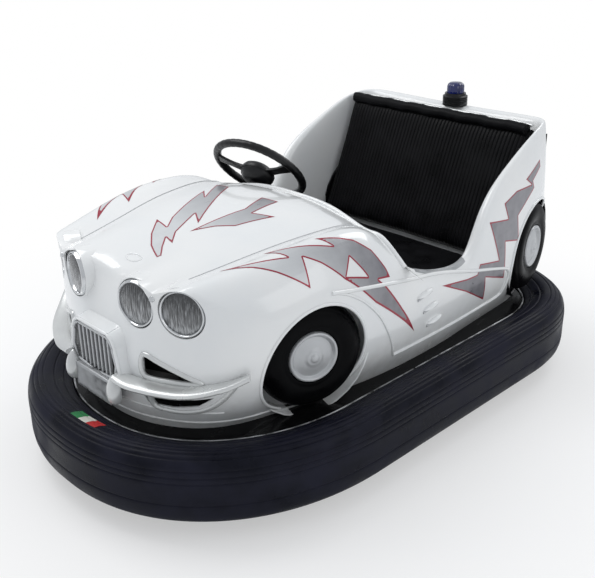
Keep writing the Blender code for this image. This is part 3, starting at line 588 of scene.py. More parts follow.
# %% Sections of the body
HEM = 0.2333
BONNET_ROWS = [  # centre, bonnet crown, crease, wing crown, shoulder; from the cowl to the nose
    [(0, -0.050, 0.718), (0.160, -0.055, 0.712), (0.315, -0.072, 0.683), (0.395, -0.076, 0.675),
     (0.470, -0.060, 0.600)],
    [(0, -0.150, 0.750), (0.160, -0.150, 0.744), (0.317, -0.150, 0.719), (0.398, -0.150, 0.736),
     (0.474, -0.150, 0.635)],
    [(0, -0.270, 0.757), (0.158, -0.270, 0.750), (0.309, -0.270, 0.720), (0.398, -0.270, 0.752),
     (0.474, -0.270, 0.648)],
    [(0, -0.410, 0.740), (0.152, -0.410, 0.737), (0.289, -0.410, 0.713), (0.390, -0.410, 0.746),
     (0.470, -0.410, 0.652)],
    [(0, -0.550, 0.696), (0.148, -0.560, 0.708), (0.260, -0.560, 0.690), (0.365, -0.560, 0.720),
     (0.452, -0.540, 0.640)],
    [(0, -0.705, 0.640), (0.149, -0.790, 0.698), (0.221, -0.774, 0.664), (0.300, -0.750, 0.698),
     (0.412, -0.662, 0.622)],
]
SKIRT_LEVELS = [0.575, 0.460, 0.350, HEM]
SKIRT_PLANS = [  # (x, y) at each level, from the middle of the nose round to the cowl
    [(0, -0.768), (0, -0.815), (0, -0.822), (0, -0.786)],
    [(0.148, -0.779), (0.125, -0.808), (0.125, -0.806), (0.118, -0.768)],
    [(0.224, -0.764), (0.232, -0.772), (0.225, -0.762), (0.205, -0.722)],
    [(0.306, -0.736), (0.325, -0.732), (0.312, -0.716), (0.268, -0.672)],
    [(0.420, -0.660), (0.432, -0.646), (0.402, -0.625), (0.322, -0.590)],
    [(0.462, -0.540), (0.468, -0.535), (0.425, -0.515), (0.352, -0.470)],
    [(0.478, -0.410), (0.482, -0.410), (0.445, -0.400), (0.372, -0.370)],
    [(0.482, -0.270), (0.486, -0.270), (0.462, -0.265), (0.396, -0.250)],
    [(0.483, -0.150), (0.487, -0.150), (0.470, -0.150), (0.411, -0.150)],
    [(0.482, -0.052), (0.487, -0.052), (0.474, -0.052), (0.421, -0.052)],
]
TUB_SECTIONS = [  # hem, waist, outer edge, inner edge, inner foot (x, y), height of the crest
    [(0.424, 0.060), (0.487, 0.060), (0.476, 0.060), (0.440, 0.060), (0.425, 0.060), 0.545],
    [(0.422, 0.200), (0.487, 0.190), (0.476, 0.190), (0.440, 0.190), (0.425, 0.190), 0.520],
    [(0.416, 0.280), (0.487, 0.262), (0.478, 0.262), (0.436, 0.275), (0.425, 0.290), 0.535],
    [(0.410, 0.340), (0.486, 0.315), (0.482, 0.310), (0.432, 0.325), (0.424, 0.340), 0.650],
    [(0.404, 0.420), (0.484, 0.385), (0.478, 0.372), (0.428, 0.385), (0.422, 0.400), 0.728],
    [(0.396, 0.520), (0.478, 0.490), (0.466, 0.480), (0.424, 0.480), (0.420, 0.480), 0.785],
    [(0.390, 0.620), (0.464, 0.600), (0.454, 0.585), (0.420, 0.580), (0.418, 0.580), 0.835],
    [(0.380, 0.700), (0.446, 0.710), (0.440, 0.680), (0.416, 0.670), (0.416, 0.640), 0.872],
    [(0.328, 0.758), (0.404, 0.850), (0.404, 0.795), (0.402, 0.742), (0.402, 0.690), 0.882],
    [(0.258, 0.782), (0.330, 0.898), (0.330, 0.830), (0.330, 0.750), (0.330, 0.700), 0.878],
    [(0.150, 0.790), (0.160, 0.912), (0.160, 0.846), (0.160, 0.752), (0.160, 0.702), 0.872],
    [(0.000, 0.792), (0.000, 0.915), (0.000, 0.850), (0.000, 0.752), (0.000, 0.702), 0.870],
]
SKIN = 0.005
BODY_LEVELS = 3


def both_sides(half):
    """A row from the car's right to its left, from the left half that starts on the middle."""
    return [(-x, y, z) for x, y, z in half[:0:-1]] + list(half)


def skirt_rows():
    """The walls under the bonnet's edge, from that edge down to the hem."""
    edge = BONNET_ROWS[-1] + [row[-1] for row in BONNET_ROWS[-2::-1]]
    rows = [both_sides(edge)]
    for level, z in enumerate(SKIRT_LEVELS):
        rows.append(both_sides([(plan[level][0], plan[level][1], z) for plan in SKIRT_PLANS]))
    return rows


def tub_rows():
    """Sill, wing and tail; the first section shares its outer points with the skirt's last."""
    last = [(plan[0], plan[1], z) for plan, z in zip(SKIRT_PLANS[-1], SKIRT_LEVELS)]
    start = last[::-1] + [BONNET_ROWS[0][-1], (0.452, -0.048, 0.590), (0.440, -0.048, 0.560),
                          (0.425, -0.048, 0.360)]
    rows = [start]
    for hem, waist, outer, inner, foot, crest in TUB_SECTIONS:
        low = Vector((*hem, 0)).lerp(Vector((*waist, 0)), 2 / 3)
        near = Vector((*outer, 0)).lerp(Vector((*inner, 0)), 1 / 3)
        far = Vector((*outer, 0)).lerp(Vector((*inner, 0)), 2 / 3)
        rows.append([(*hem, HEM), (low.x, low.y, 0.330), (*waist, 0.460), (*outer, crest - 0.022),
                     (near.x, near.y, crest), (far.x, far.y, crest), (*inner, crest - 0.024),
                     (*foot, 0.360)])
    return rows + [[(-x, y, z) for x, y, z in row] for row in rows[-2::-1]]


def loft_cage(name, grids):
    points, faces = [], []
    for rows in grids:
        start, width = len(points), len(rows[0])
        for row in rows:
            points.extend(row)
        for r in range(len(rows) - 1):
            for k in range(width - 1):
                a = start + r * width + k
                faces.append((a, a + 1, a + width + 1, a + width))
    mesh = bpy.data.meshes.new(name)
    mesh.from_pydata(points, [], faces)
    item = bpy.data.objects.new(name, mesh)
    bpy.context.scene.collection.objects.link(item)
    tidy_mesh(item)
    if sum(face.normal.z * face.area for face in item.data.polygons) < 0:
        edit_all(item)
        bpy.ops.mesh.flip_normals()
        leave_edit()
    return item


def loft_rings(name, rings, capped=True):
    points = [p for ring in rings for p in ring]
    width = len(rings[0])
    faces = [(r * width + k, r * width + (k + 1) % width, (r + 1) * width + (k + 1) % width,
              (r + 1) * width + k)
             for r in range(len(rings) - 1) for k in range(width)]
    if capped:
        faces += [tuple(range(width)), tuple(len(points) - 1 - k for k in range(width))]
    else:
        last = (len(rings) - 1) * width
        faces += [(last + k, last + (k + 1) % width, (k + 1) % width, k) for k in range(width)]
    mesh = bpy.data.meshes.new(name)
    mesh.from_pydata(points, [], faces)
    item = bpy.data.objects.new(name, mesh)
    bpy.context.scene.collection.objects.link(item)
    return tidy_mesh(item)


def crease_along(item, points, weight):
    """Sharpen the cage's edges that run from each point to the next one."""
    mesh = item.data
    layer = mesh.attributes.get("crease_edge") or mesh.attributes.new("crease_edge", "FLOAT", "EDGE")
    places = {tuple(round(c, 4) for c in v.co): v.index for v in mesh.vertices}
    numbers = [places[tuple(round(c, 4) for c in p)] for p in points]
    pairs = {frozenset(pair) for pair in zip(numbers, numbers[1:])}
    for edge in mesh.edges:
        if frozenset(edge.vertices) in pairs:
            layer.data[edge.index].value = weight


def round_skin(item, levels):
    rounding = item.modifiers.new("rounding", "SUBSURF")
    rounding.levels = rounding.render_levels = levels
    return apply_all(item)


body = loft_cage("body_shell", [[both_sides(row) for row in BONNET_ROWS], skirt_rows(), tub_rows()])
for side in (1, -1):
    crease_along(body, [(side * row[2][0], row[2][1], row[2][2]) for row in BONNET_ROWS], 0.95)
    crease_along(body, [(side * row[3][0], row[3][1], row[3][2]) for row in BONNET_ROWS], 0.25)
crease_along(body, both_sides(BONNET_ROWS[-1]), 0.80)
round_skin(body, BODY_LEVELS)
skin_tree = BVHTree.FromPolygons([v.co.copy() for v in body.data.vertices],
                                 [list(face.vertices) for face in body.data.polygons])
print("body skin has", len(body.data.polygons), "faces")


def on_skin(point, direction, lift=0.0):
    """The point of the body's skin that is met on the way in against the direction."""
    direction = Vector(direction).normalized()
    place, normal, _, _ = skin_tree.ray_cast(Vector(point) + direction * 0.4, -direction)
    if place is None:
        place, normal, _, _ = skin_tree.find_nearest(Vector(point))
    if normal.dot(direction) < 0:
        normal = -normal
    return place + normal * lift


# %% [markdown]
# ## Openings in the body
# Wheel arches, lamp sockets, the grille and the air intakes are cut by solids. All the cutters
# are joined first, so that one boolean does the work, after the skin has got its wall.

# %% Cut the openings
DUMMY_WHEELS = [  # name, side, middle of the cap, yaw of its face towards the front, tyre's depth
    ("front_left", 1, Vector((0.429, -0.394, 0.414)), 17.5, 0.080),
    ("front_right", -1, Vector((-0.429, -0.394, 0.414)), 17.5, 0.080),
    ("rear_left", 1, Vector((0.427, 0.720, 0.435)), -13.0, 0.046),
    ("rear_right", -1, Vector((-0.427, 0.720, 0.435)), -13.0, 0.046),
]
ARCH_RADIUS = 0.178
ARCH_SHIFT = Vector((0, -0.010, 0))  # the openings sit this much ahead of their wheels
LAMPS = [  # name, middle of the lens, yaw of its face from straight ahead
    ("inner_left", Vector((0.149, -0.778, 0.615)), 12.0),
    ("outer_left", Vector((0.292, -0.734, 0.617)), 26.0),
    ("inner_right", Vector((-0.149, -0.778, 0.615)), -12.0),
    ("outer_right", Vector((-0.292, -0.734, 0.617)), -26.0),
]
LAMP_RADIUS = 0.0675
GRILLE_LOW, GRILLE_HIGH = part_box("grille")
INTAKE_WAY = Vector((0.45, -0.89, 0.0))
UPPER_INTAKE = [(0.172, -0.78, 0.478), (0.222, -0.76, 0.466), (0.300, -0.73, 0.436), (0.325, -0.71, 0.418),
                (0.250, -0.75, 0.412), (0.172, -0.78, 0.416)]
LOWER_INTAKE = [(0.152, -0.78, 0.356), (0.235, -0.76, 0.352), (0.300, -0.72, 0.358), (0.345, -0.69, 0.370),
                (0.305, -0.72, 0.334), (0.240, -0.76, 0.318), (0.168, -0.78, 0.320)]


def wheel_frame(side, centre, yaw):
    angle = math.radians(yaw)
    return axis_frame(centre, (side * math.cos(angle), -math.sin(angle), 0.0))


def lamp_frame(centre, yaw):
    angle = math.radians(yaw)
    return axis_frame(centre, (math.sin(angle), -math.cos(angle), 0.03))


def drum(name, radius, low, high, place):
    deselect_all()
    bpy.ops.mesh.primitive_cylinder_add(vertices=96, radius=radius, depth=high - low)
    item = bpy.context.object
    item.name = name
    return settle(item, place @ Matrix.Translation((0, 0, (low + high) / 2)))


def flatten(points, direction):
    """The outline laid on one plane square to the direction."""
    points = [Vector(p) for p in points]
    direction = Vector(direction).normalized()
    level = sum(p.dot(direction) for p in points) / len(points)
    return [p + direction * (level - p.dot(direction)) for p in points]


def prism(name, points, direction, ahead, depth):
    direction = Vector(direction).normalized()
    item = draw_line(name, [p + direction * ahead for p in flatten(points, direction)], True, True)
    edit_all(item)
    bpy.ops.mesh.extrude_region_move(TRANSFORM_OT_translate={"value": tuple(-direction * depth)})
    leave_edit()
    return tidy_mesh(item)


def swap_side(points):
    return [(-x, y, z) for x, y, z in points]


def grille_outline(grow=0.0, y=-0.832):
    """The grille's outline: square feet and round shoulders."""
    half, low, high = GRILLE_HIGH.x + grow, GRILLE_LOW.z - grow, GRILLE_HIGH.z + grow
    radius = 0.034 + grow
    turn = [math.radians(a) for a in range(0, 91, 15)]
    right = [(half - radius + radius * math.cos(a), y, high - radius + radius * math.sin(a)) for a in turn]
    left = [(-x, y, z) for x, _, z in right[::-1]]
    return [(half, y, low)] + right + left + [(-half, y, low)]


wall = body.modifiers.new("wall", "SOLIDIFY")
wall.thickness = SKIN
wall.offset = -1.0
wall.use_even_offset = True
apply_all(body)

cutters = [drum("arch_cut", ARCH_RADIUS, -depth - 0.006, 0.15, wheel_frame(side, centre + ARCH_SHIFT, yaw))
           for _, side, centre, yaw, depth in DUMMY_WHEELS]
cutters += [drum("socket_cut", LAMP_RADIUS + 0.0003, -0.05, 0.06, lamp_frame(centre, yaw))
            for _, centre, yaw in LAMPS]
cutters.append(prism("grille_cut", grille_outline(0.0003), (0, -1, 0), 0.06, 0.13))
for outline in (UPPER_INTAKE, LOWER_INTAKE):
    cutters.append(prism("intake_cut", outline, INTAKE_WAY, 0.08, 0.15))
    cutters.append(prism("intake_cut", swap_side(outline), Vector((-0.45, -0.89, 0)), 0.08, 0.15))
cutter = join_pieces(*cutters)
opening = body.modifiers.new("openings", "BOOLEAN")
opening.object = cutter
opening.operation = "DIFFERENCE"
opening.solver = "EXACT"
opening.use_self = True
apply_all(body)
bpy.data.objects.remove(cutter)
tidy_mesh(body)
hand_over(body, GEL_COAT, stands_for=("body_front", "body_tub"), angle=50.0)

# %% [markdown]
# ## Beads and lips
# A mould leaves raised beads: along the sill, round the openings, over the cowl. Each is a thin
# tube whose middle lies on the skin, so that half of it is sunk and half stands out.

# %% Beads on the body
SILL_BEAD = [(-0.368, 0.615), (-0.314, 0.605), (-0.168, 0.580), (-0.030, 0.555), (0.114, 0.527),
             (0.330, 0.475),
             (0.460, 0.438), (0.505, 0.420), (0.522, 0.392), (0.515, 0.340), (0.490, 0.316), (0.350, 0.314),
             (0.133, 0.312), (-0.079, 0.311)]
ARCH_SWEEP = [(-0.079, 0.311), (-0.105, 0.365), (-0.139, 0.423), (-0.180, 0.485), (-0.222, 0.530),
              (-0.258, 0.562),
              (-0.305, 0.592), (-0.345, 0.608)]


SILL_RADIUS, SWEEP_RADIUS, ARCH_LIP_RADIUS = 0.0062, 0.0042, 0.0050
ARCH_LIP_SWEEP = (-62, 242)  # degrees round the opening, from foot to foot
SIDE_REACH = 0.4


def side_bead(name, line, radius, steps=6):
    path = [on_skin((SIDE_REACH, p.y, p.z), (1, 0, 0)) for p in smooth_path([(0, y, z) for y, z in line],
                                                                            steps)]
    return tube_along(name, path, radius)


def arch_lip(name, place, radius, start, stop):
    path = []
    for k in range(49):
        angle = math.radians(start + (stop - start) * k / 48)
        local = Vector((ARCH_RADIUS * math.cos(angle), ARCH_RADIUS * math.sin(angle), 0.0))
        way = place.to_3x3() @ Vector((0, 0, 1))
        path.append(on_skin(place @ local, way))
    return tube_along(name, path, radius)


def outline_lip(name, points, direction, radius, closed=True):
    path = smooth_path([on_skin(p, direction) for p in points], 5, closed)
    return tube_along(name, [on_skin(p, direction) for p in path], radius, closed)


APRON_BEADS = [  # height, half width in degrees round the nose, radius
    (0.262, 62.0, 0.0035),
    (0.305, 44.0, 0.0030),
]


def apron_bead(name, height, spread, radius):
    hub = Vector((0, -0.30, height))
    path = []
    for k in range(61):
        angle = math.radians(spread * (k / 30 - 1))
        way = Vector((math.sin(angle), -math.cos(angle), 0))
        path.append(on_skin(hub + way * 0.45, way))
    return tube_along(name, path, radius)


beads = []
for line, radius in ((SILL_BEAD, SILL_RADIUS), (ARCH_SWEEP, SWEEP_RADIUS)):
    bead = side_bead("sill_bead", line, radius)
    beads += [bead, mirror_piece(bead, "sill_bead_right")]
for _, side, centre, yaw, _ in DUMMY_WHEELS:
    opening_frame = wheel_frame(side, centre + ARCH_SHIFT, yaw)
    beads.append(arch_lip("arch_lip", opening_frame, ARCH_LIP_RADIUS, *ARCH_LIP_SWEEP))
beads += [apron_bead("apron_bead", *values) for values in APRON_BEADS]
# A thin grey line along each bonnet valley: painted shade in the crease.
VALLEY_LIFT, VALLEY_RADIUS = 0.0006, 0.0015
VALLEY_STOP = 10  # steps short of the nose's edge
valley = smooth_path([(row[2][0], row[2][1], 0.7) for row in BONNET_ROWS], 24)
valley_points = [on_skin(point, (0, 0, 1), VALLEY_LIFT) for point in valley[:-VALLEY_STOP]]
valley_shade_line = tube_along("valley_shade_line", valley_points, VALLEY_RADIUS)
valley_shade_lines = join_pieces(valley_shade_line, mirror_piece(valley_shade_line, "valley_shade_line_right"))
valley_shade_lines.name = "valley_shade_lines"
hand_over(valley_shade_lines, SILVER)
LOWER_LIP = [(0.140, 0.372), (0.141, 0.335), (0.160, 0.311), (0.235, 0.306), (0.305, 0.320), (0.360, 0.352),
             (0.405, 0.398), (0.432, 0.436)]
lip_line = smooth_path([on_skin((x, -0.70, z), INTAKE_WAY) for x, z in LOWER_LIP], 6)
UPPER_LIP_RADIUS, LOWER_LIP_RADIUS = 0.0078, 0.0085
lips = [outline_lip("intake_lip", UPPER_INTAKE, INTAKE_WAY, UPPER_LIP_RADIUS),
        tube_along("lower_lip", lip_line, LOWER_LIP_RADIUS, sides=3)]
lips += [mirror_piece(lip, "intake_lip_right") for lip in lips]
intake_lips = join_pieces(*lips)
intake_lips.name = "intake_lips"
hand_over(intake_lips, BLADE)
cowl = [Vector(p) + Vector((0, 0.002, -0.003)) for p in both_sides(BONNET_ROWS[0])]
beads.append(tube_along("cowl_roll", smooth_path(cowl, 10), 0.0075))
body_beads = join_pieces(*beads)
body_beads.name = "body_beads"
hand_over(body_beads, GEL_COAT)

# %% [markdown]
# ## Louvres and nose pods
# Three short scoops sit behind the front wheel. Each is an egg shape cut flat behind. The
# headlights sit in short buckets of the same moulding, which are turned on the lathe.

# %% Louvres and lamp buckets
LOUVRES = [((-0.008, 0.483), (0.060, 0.494)), ((0.026, 0.430), (0.094, 0.441)),
           ((0.059, 0.371), (0.124, 0.382))]
BUCKET_PROFILE = [(0.0680, -0.055), (0.0680, -0.010), (0.0695, -0.0070), (0.0720, -0.0075),
                  (0.0740, -0.013),
                  (0.0755, -0.030), (0.0765, -0.055)]


LOUVRE_HALF = (0.012, 0.0095)
LOUVRE_STRETCH = 1.15
LOUVRE_FLOOR = 0.003
SHADOW_LINE_DROP, SHADOW_LINE_RADIUS = 0.006, 0.0042


def louvre(name, start, stop):
    near = on_skin((SIDE_REACH, *start), (1, 0, 0))
    far = on_skin((SIDE_REACH, *stop), (1, 0, 0))
    deselect_all()
    bpy.ops.mesh.primitive_uv_sphere_add(segments=32, ring_count=16, radius=1.0)
    item = bpy.context.object
    item.name = name
    reach = (far - near).length / 2
    size = Matrix.Diagonal((LOUVRE_HALF[0], LOUVRE_HALF[1], reach * LOUVRE_STRETCH, 1.0))
    settle(item, axis_frame((near + far) / 2, far - near) @ size)
    edit_all(item)
    floor = (near + far) / 2 - UP * LOUVRE_FLOOR
    bpy.ops.mesh.bisect(plane_co=floor, plane_no=(0, 0, 1), clear_inner=True, use_fill=True)
    leave_edit()
    return item


def louvre_shadow_line(start, stop):
    """A grey line under a louvre: painted shadow below its lip."""
    ends = [on_skin((SIDE_REACH, y, z - SHADOW_LINE_DROP), (1, 0, 0)) for y, z in (start, stop)]
    return tube_along("louvre_shadow_line", [ends[0], (ends[0] + ends[1]) / 2, ends[1]], SHADOW_LINE_RADIUS, sides=3)


# Grey lines under the louvres: painted shadow below their lips.
shadow_lines = [louvre_shadow_line(start, stop) for start, stop in LOUVRES]
shadow_lines += [mirror_piece(shadow_line, "louvre_shadow_line_right") for shadow_line in shadow_lines]
louvre_shadow_lines = join_pieces(*shadow_lines)
louvre_shadow_lines.name = "louvre_shadow_lines"
hand_over(louvre_shadow_lines, SILVER)
scoops = [louvre("louvre", start, stop) for start, stop in LOUVRES]
scoops += [mirror_piece(scoop, "louvre_right") for scoop in scoops]
louvres = join_pieces(*scoops)
louvres.name = "side_louvres"
hand_over(louvres, GEL_COAT)
for name, centre, yaw in LAMPS:
    bucket = turn_on_lathe("lamp_bucket_" + name, BUCKET_PROFILE, lamp_frame(centre, yaw), closed=True)
    hand_over(bucket, GEL_COAT)

# %% [markdown]
# ## Headlights
# A sealed lamp has a bright rim with a rolled edge, and a moulded glass whose upright ribs break
# up the mirror behind it. The ribs are real relief here; their streaks are painted reflections in the
# material.

# %% Headlight rims and lenses
RIM_PROFILE = [(0.0560, -0.040), (0.0672, -0.040), (0.0675, -0.012), (0.0662, -0.004), (0.0630, 0.0015),
               (0.0600, 0.0020), (0.0578, -0.0005), (0.0570, -0.006), (0.0560, -0.016)]
LENS_RADIUS = 0.0566
LENS_CELLS = 72
RIB_PITCH = 0.0075


def make_lens_glass():
    """Ribbed grey glass with painted reflections: upright dark and light streaks, painted shade above, and
    painted highlights low down.
    """
    look = finish("lamp_glass", (0.05, 0.05, 0.055), (0.42, 0.43, 0.44), 0.08, coat=1.0, bump=0.0)
    nodes, links = look.node_tree.nodes, look.node_tree.links
    place = nodes.new("ShaderNodeTexCoord")
    stretch = nodes.new("ShaderNodeMapping")
    stretch.inputs["Scale"].default_value = (230.0, 230.0, 30.0)
    # Painted reflections: upright dark and light streaks, as the mirror seen through the ribs.
    reflection_streaks = nodes.new("ShaderNodeTexNoise")
    reflection_streaks.inputs["Scale"].default_value = 1.0
    reflection_streaks.inputs["Detail"].default_value = 3.0
    split = nodes.new("ShaderNodeSeparateXYZ")
    # Painted shade and highlight: darker towards the top of the lens, lighter towards the bottom.
    shade = nodes.new("ShaderNodeMapRange")
    shade.inputs["From Min"].default_value = 0.565
    shade.inputs["From Max"].default_value = 0.665
    shade.inputs["To Min"].default_value = 0.14
    shade.inputs["To Max"].default_value = -0.20
    total = nodes.new("ShaderNodeMath")
    total.operation = "ADD"
    ramp = nodes.new("ShaderNodeValToRGB")
    stops = ramp.color_ramp.elements
    stops[0].position, stops[0].color = 0.34, (0.025, 0.026, 0.028, 1)
    stops[1].position, stops[1].color = 0.74, (0.42, 0.43, 0.44, 1)
    middle = stops.new(0.52)
    middle.color = (0.14, 0.145, 0.15, 1)
    links.new(place.outputs["Object"], stretch.inputs["Vector"])
    links.new(stretch.outputs["Vector"], reflection_streaks.inputs["Vector"])
    links.new(place.outputs["Object"], split.inputs["Vector"])
    links.new(split.outputs["Z"], shade.inputs["Value"])
    links.new(reflection_streaks.outputs["Fac"], total.inputs[0])
    links.new(shade.outputs["Result"], total.inputs[1])
    links.new(total.outputs["Value"], ramp.inputs["Fac"])
    links.new(ramp.outputs["Color"], nodes["Principled BSDF"].inputs["Base Color"])
    return look


def lens_blank(name, place):
    """A square grid pressed into a round dome with upright ribs, then given its thickness."""
    deselect_all()
    bpy.ops.mesh.primitive_grid_add(x_subdivisions=LENS_CELLS, y_subdivisions=LENS_CELLS, size=2.0)
    item = bpy.context.object
    item.name = name
    for vertex in item.data.vertices:
        u, v = vertex.co.x, vertex.co.y
        x, y = u * math.sqrt(1 - v * v / 2), v * math.sqrt(1 - u * u / 2)
        reach = math.sqrt(x * x + y * y)
        dome = 0.0085 * (1 - reach ** 2)
        rib = 0.0011 * abs(math.sin(math.pi * x * LENS_RADIUS / RIB_PITCH)) * min(1.0, (1 - reach) * 8)
        vertex.co = (x * LENS_RADIUS, y * LENS_RADIUS, -0.0045 + dome + rib)
    glass = item.modifiers.new("glass", "SOLIDIFY")
    glass.thickness = 0.003
    apply_all(item)
    return settle(item, place)


LENS_GLASS = make_lens_glass()
for name, centre, yaw in LAMPS:
    place = lamp_frame(centre, yaw)
    rim = turn_on_lathe("lamp_rim_" + name, RIM_PROFILE, place, 96, closed=True)
    hand_over(rim, CHROME, stands_for=("headlight_rim_" + name,))
    hand_over(lens_blank("lamp_lens_" + name, place), LENS_GLASS,
              stands_for=("headlight_lens_" + name,), angle=60.0)

# %% [markdown]
# ## Eight upright bars stand in front of a black plate of painted shadow, inside a bright frame with round shoulders.
# Eight upright bars stand in front of a dark box, inside a bright frame with round shoulders.
# Each bar is a cube with its edges bevelled, made one by one.

# %% Grille
BAR_COUNT = 8
GRILLE_FACE = GRILLE_LOW.y


def grille_bars():
    bars = []
    pitch = (GRILLE_HIGH.x - GRILLE_LOW.x - 0.012) / (BAR_COUNT + 1)
    for k in range(BAR_COUNT):
        x = pitch * (k + 0.5 - BAR_COUNT / 2)
        top = GRILLE_HIGH.z - 0.004 - max(0.0, abs(x) - 0.055) * 0.45
        deselect_all()
        bpy.ops.mesh.primitive_cube_add(size=1.0, location=(x, GRILLE_FACE + 0.008,
                                                            (GRILLE_LOW.z + top) / 2))
        bar = bpy.context.object
        bar.scale = (0.0062, 0.012, top - GRILLE_LOW.z)
        settle(bar)
        edit_all(bar)
        bpy.ops.mesh.bevel(offset=0.003, segments=4, affect="EDGES")
        leave_edit()
        bars.append(bar)
    return join_pieces(*bars)


bars = grille_bars()
bars.name = "grille_bars"
SURROUND_RADIUS, GRILLE_LIP_RADIUS = 0.0042, 0.0058
surround_line = smooth_path(grille_outline(-0.003, GRILLE_FACE + 0.003), 2, True)
surround = tube_along("grille_surround", surround_line, SURROUND_RADIUS, closed=True)
bars = join_pieces(bars, surround)
hand_over(bars, SILVER, stands_for=("grille",))
# A black plate behind the bars: painted shadow in the grille's opening.
hollow = prism("grille_shadow", grille_outline(0.002), (0, -1, 0), -0.022, 0.012)
hand_over(hollow, SHADOW, angle=None)
COLLAR_FOOT = -0.785
COLLAR_SECTION = [(0.0015, GRILLE_FACE + 0.004), (0.0110, GRILLE_FACE + 0.006), (0.0200, COLLAR_FOOT),
                  (0.0025, COLLAR_FOOT)]  # how far outside the grille's outline, and at which depth
collar_rings = [smooth_path(grille_outline(grow, y), 3, True) for grow, y in COLLAR_SECTION]
collar = loft_rings("grille_collar", collar_rings, capped=False)
lip_line = smooth_path(grille_outline(0.0065, GRILLE_FACE + 0.005), 3, True)
lip = tube_along("grille_lip", lip_line, GRILLE_LIP_RADIUS, closed=True)
collar = join_pieces(collar, lip)
hand_over(collar, GEL_COAT)
# Black plates behind the intake mouths: painted shadow in the openings.
for name, outline in (("upper", UPPER_INTAKE), ("lower", LOWER_INTAKE)):
    middle = sum((Vector(p) for p in outline), Vector()) / len(outline)
    wide = [middle + (Vector(p) - middle) * 1.25 for p in outline]
    back = prism("intake_shadow_" + name + "_left", wide, INTAKE_WAY, -0.040, 0.006)
    hand_over(back, SHADOW, angle=None)
    hand_over(mirror_piece(back, "intake_shadow_" + name + "_right"), SHADOW, angle=None)

# %% [markdown]
# ## Bumper blades, overriders and centre bar
# Each blade is a long curved spear that swells in the middle and ends blunt by the wheel. Its
# section is carried along a smooth path; the two overriders and the brushed bar close the gap.

# %% Bumper fittings
BLADE_PATH = [  # x, y, z, half height, stands out
    (0.108, -0.832, 0.404, 0.0110, 0.030), (0.180, -0.811, 0.398, 0.0110, 0.040),
    (0.300, -0.751, 0.399, 0.0110, 0.040),
    (0.385, -0.686, 0.421, 0.0110, 0.030), (0.440, -0.640, 0.452, 0.0105, 0.014),
]
BLADE_SECTION = 14
BLADE_STEPS = 10


BLADE_SINK = 0.004  # how deep the blade's inner side sits in the skin


def blade_rings():
    places = smooth_path([p[:3] for p in BLADE_PATH], BLADE_STEPS)
    sizes = smooth_path([(p[3], p[4], 0) for p in BLADE_PATH], BLADE_STEPS)
    rings = []
    for k, (place, size) in enumerate(zip(places, sizes)):
        ahead = places[min(k + 1, len(places) - 1)] - places[max(k - 1, 0)]
        out = Vector((-ahead.y, ahead.x, 0)).normalized()
        out = -out if out.y > 0 else out
        ring = []
        for j in range(BLADE_SECTION):
            angle = 2 * math.pi * j / BLADE_SECTION
            rise, reach = math.sin(angle), math.cos(angle)
            depth = size.y * (reach if reach > 0 else reach * 0.7)
            lift = size.x * rise * abs(rise) ** -0.25 if rise else 0
            ring.append(place + out * (depth - BLADE_SINK) + UP * lift)
        rings.append(ring)
    return rings


blade = loft_rings("blade_left", blade_rings())
hand_over(blade, BLADE, stands_for=("bumper_blade_left",), angle=55.0)
hand_over(mirror_piece(blade, "blade_right"), BLADE, stands_for=("bumper_blade_right",),
          angle=55.0)


OVERRIDER_PLACE = (0.104, -0.838, 0.364)
OVERRIDER_HALF = (0.024, 0.026, 0.046)


def overrider(name, side):
    """An upright pod with a blunt nose: a ball drawn tall, flattened behind."""
    deselect_all()
    bpy.ops.mesh.primitive_uv_sphere_add(segments=40, ring_count=24, radius=1.0)
    item = bpy.context.object
    item.name = name
    for vertex in item.data.vertices:
        taper = 1.0 - 0.25 * vertex.co.z
        vertex.co.x *= taper
        vertex.co.y *= taper if vertex.co.y < 0 else 0.5
    x, y, z = OVERRIDER_PLACE
    return settle(item, Matrix.Translation((side * x, y, z)) @ Matrix.Diagonal((*OVERRIDER_HALF, 1)))


for name, side in (("overrider_left", 1), ("overrider_right", -1)):
    hand_over(overrider(name, side), BLADE)


def centre_bar():
    low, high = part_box("bumper_plate")
    deselect_all()
    bpy.ops.mesh.primitive_cube_add(size=1.0, location=(low + high) / 2)
    item = bpy.context.object
    item.name = "centre_bar"
    item.scale = high - low
    settle(item)
    edit_all(item)
    bpy.ops.mesh.bevel(offset=0.005, segments=3, affect="EDGES")
    leave_edit()
    edit_faces(item, lambda face: face.normal.y < -0.99 and face.area > 0.001)
    bpy.ops.mesh.inset(thickness=0.007, depth=-0.0025)
    leave_edit()
    return item


hand_over(centre_bar(), BRUSHED, stands_for=("bumper_plate",))

# %% [markdown]
# ## Rubber ring
# The bumper is a hollow rubber moulding that is clamped round the steel hoop. Its section has
# long grooves pressed into the shoulder and top. The section is worked out once and swept round
# the ring's plan, whose two ends are superellipses.

# %% Ring section and sweep
RING_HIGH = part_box("bumper_tyre")[1]
FRONT_CAP, REAR_CAP = 0.694, 0.487
FRONT_POWER, REAR_POWER = 2.19, 2.63
RING_STEPS = 176
RING_SECTION = [  # inset from the outer wall, height
    (0.112, 0.061), (0.072, 0.0575), (0.034, 0.0575), (0.010, 0.074), (0.0008, 0.108), (0.0008, 0.160),
    (0.0012, 0.215), (0.012, 0.250), (0.042, 0.2715), (0.075, 0.2690), (0.105, 0.2560), (0.122, 0.2460),
    (0.1362, 0.2380), (0.1362, 0.180), (0.1362, 0.100),
]
GROOVES = [  # height or inset of a groove, which one it is, depth
    ("z", 0.128, 0.0020), ("z", 0.196, 0.0022), ("z", 0.214, 0.0022), ("z", 0.232, 0.0024),
    ("inset", 0.022, 0.0026), ("inset", 0.036, 0.0026), ("inset", 0.052, 0.0024), ("inset", 0.084, 0.0030),
    ("inset", 0.112, 0.0026),
]
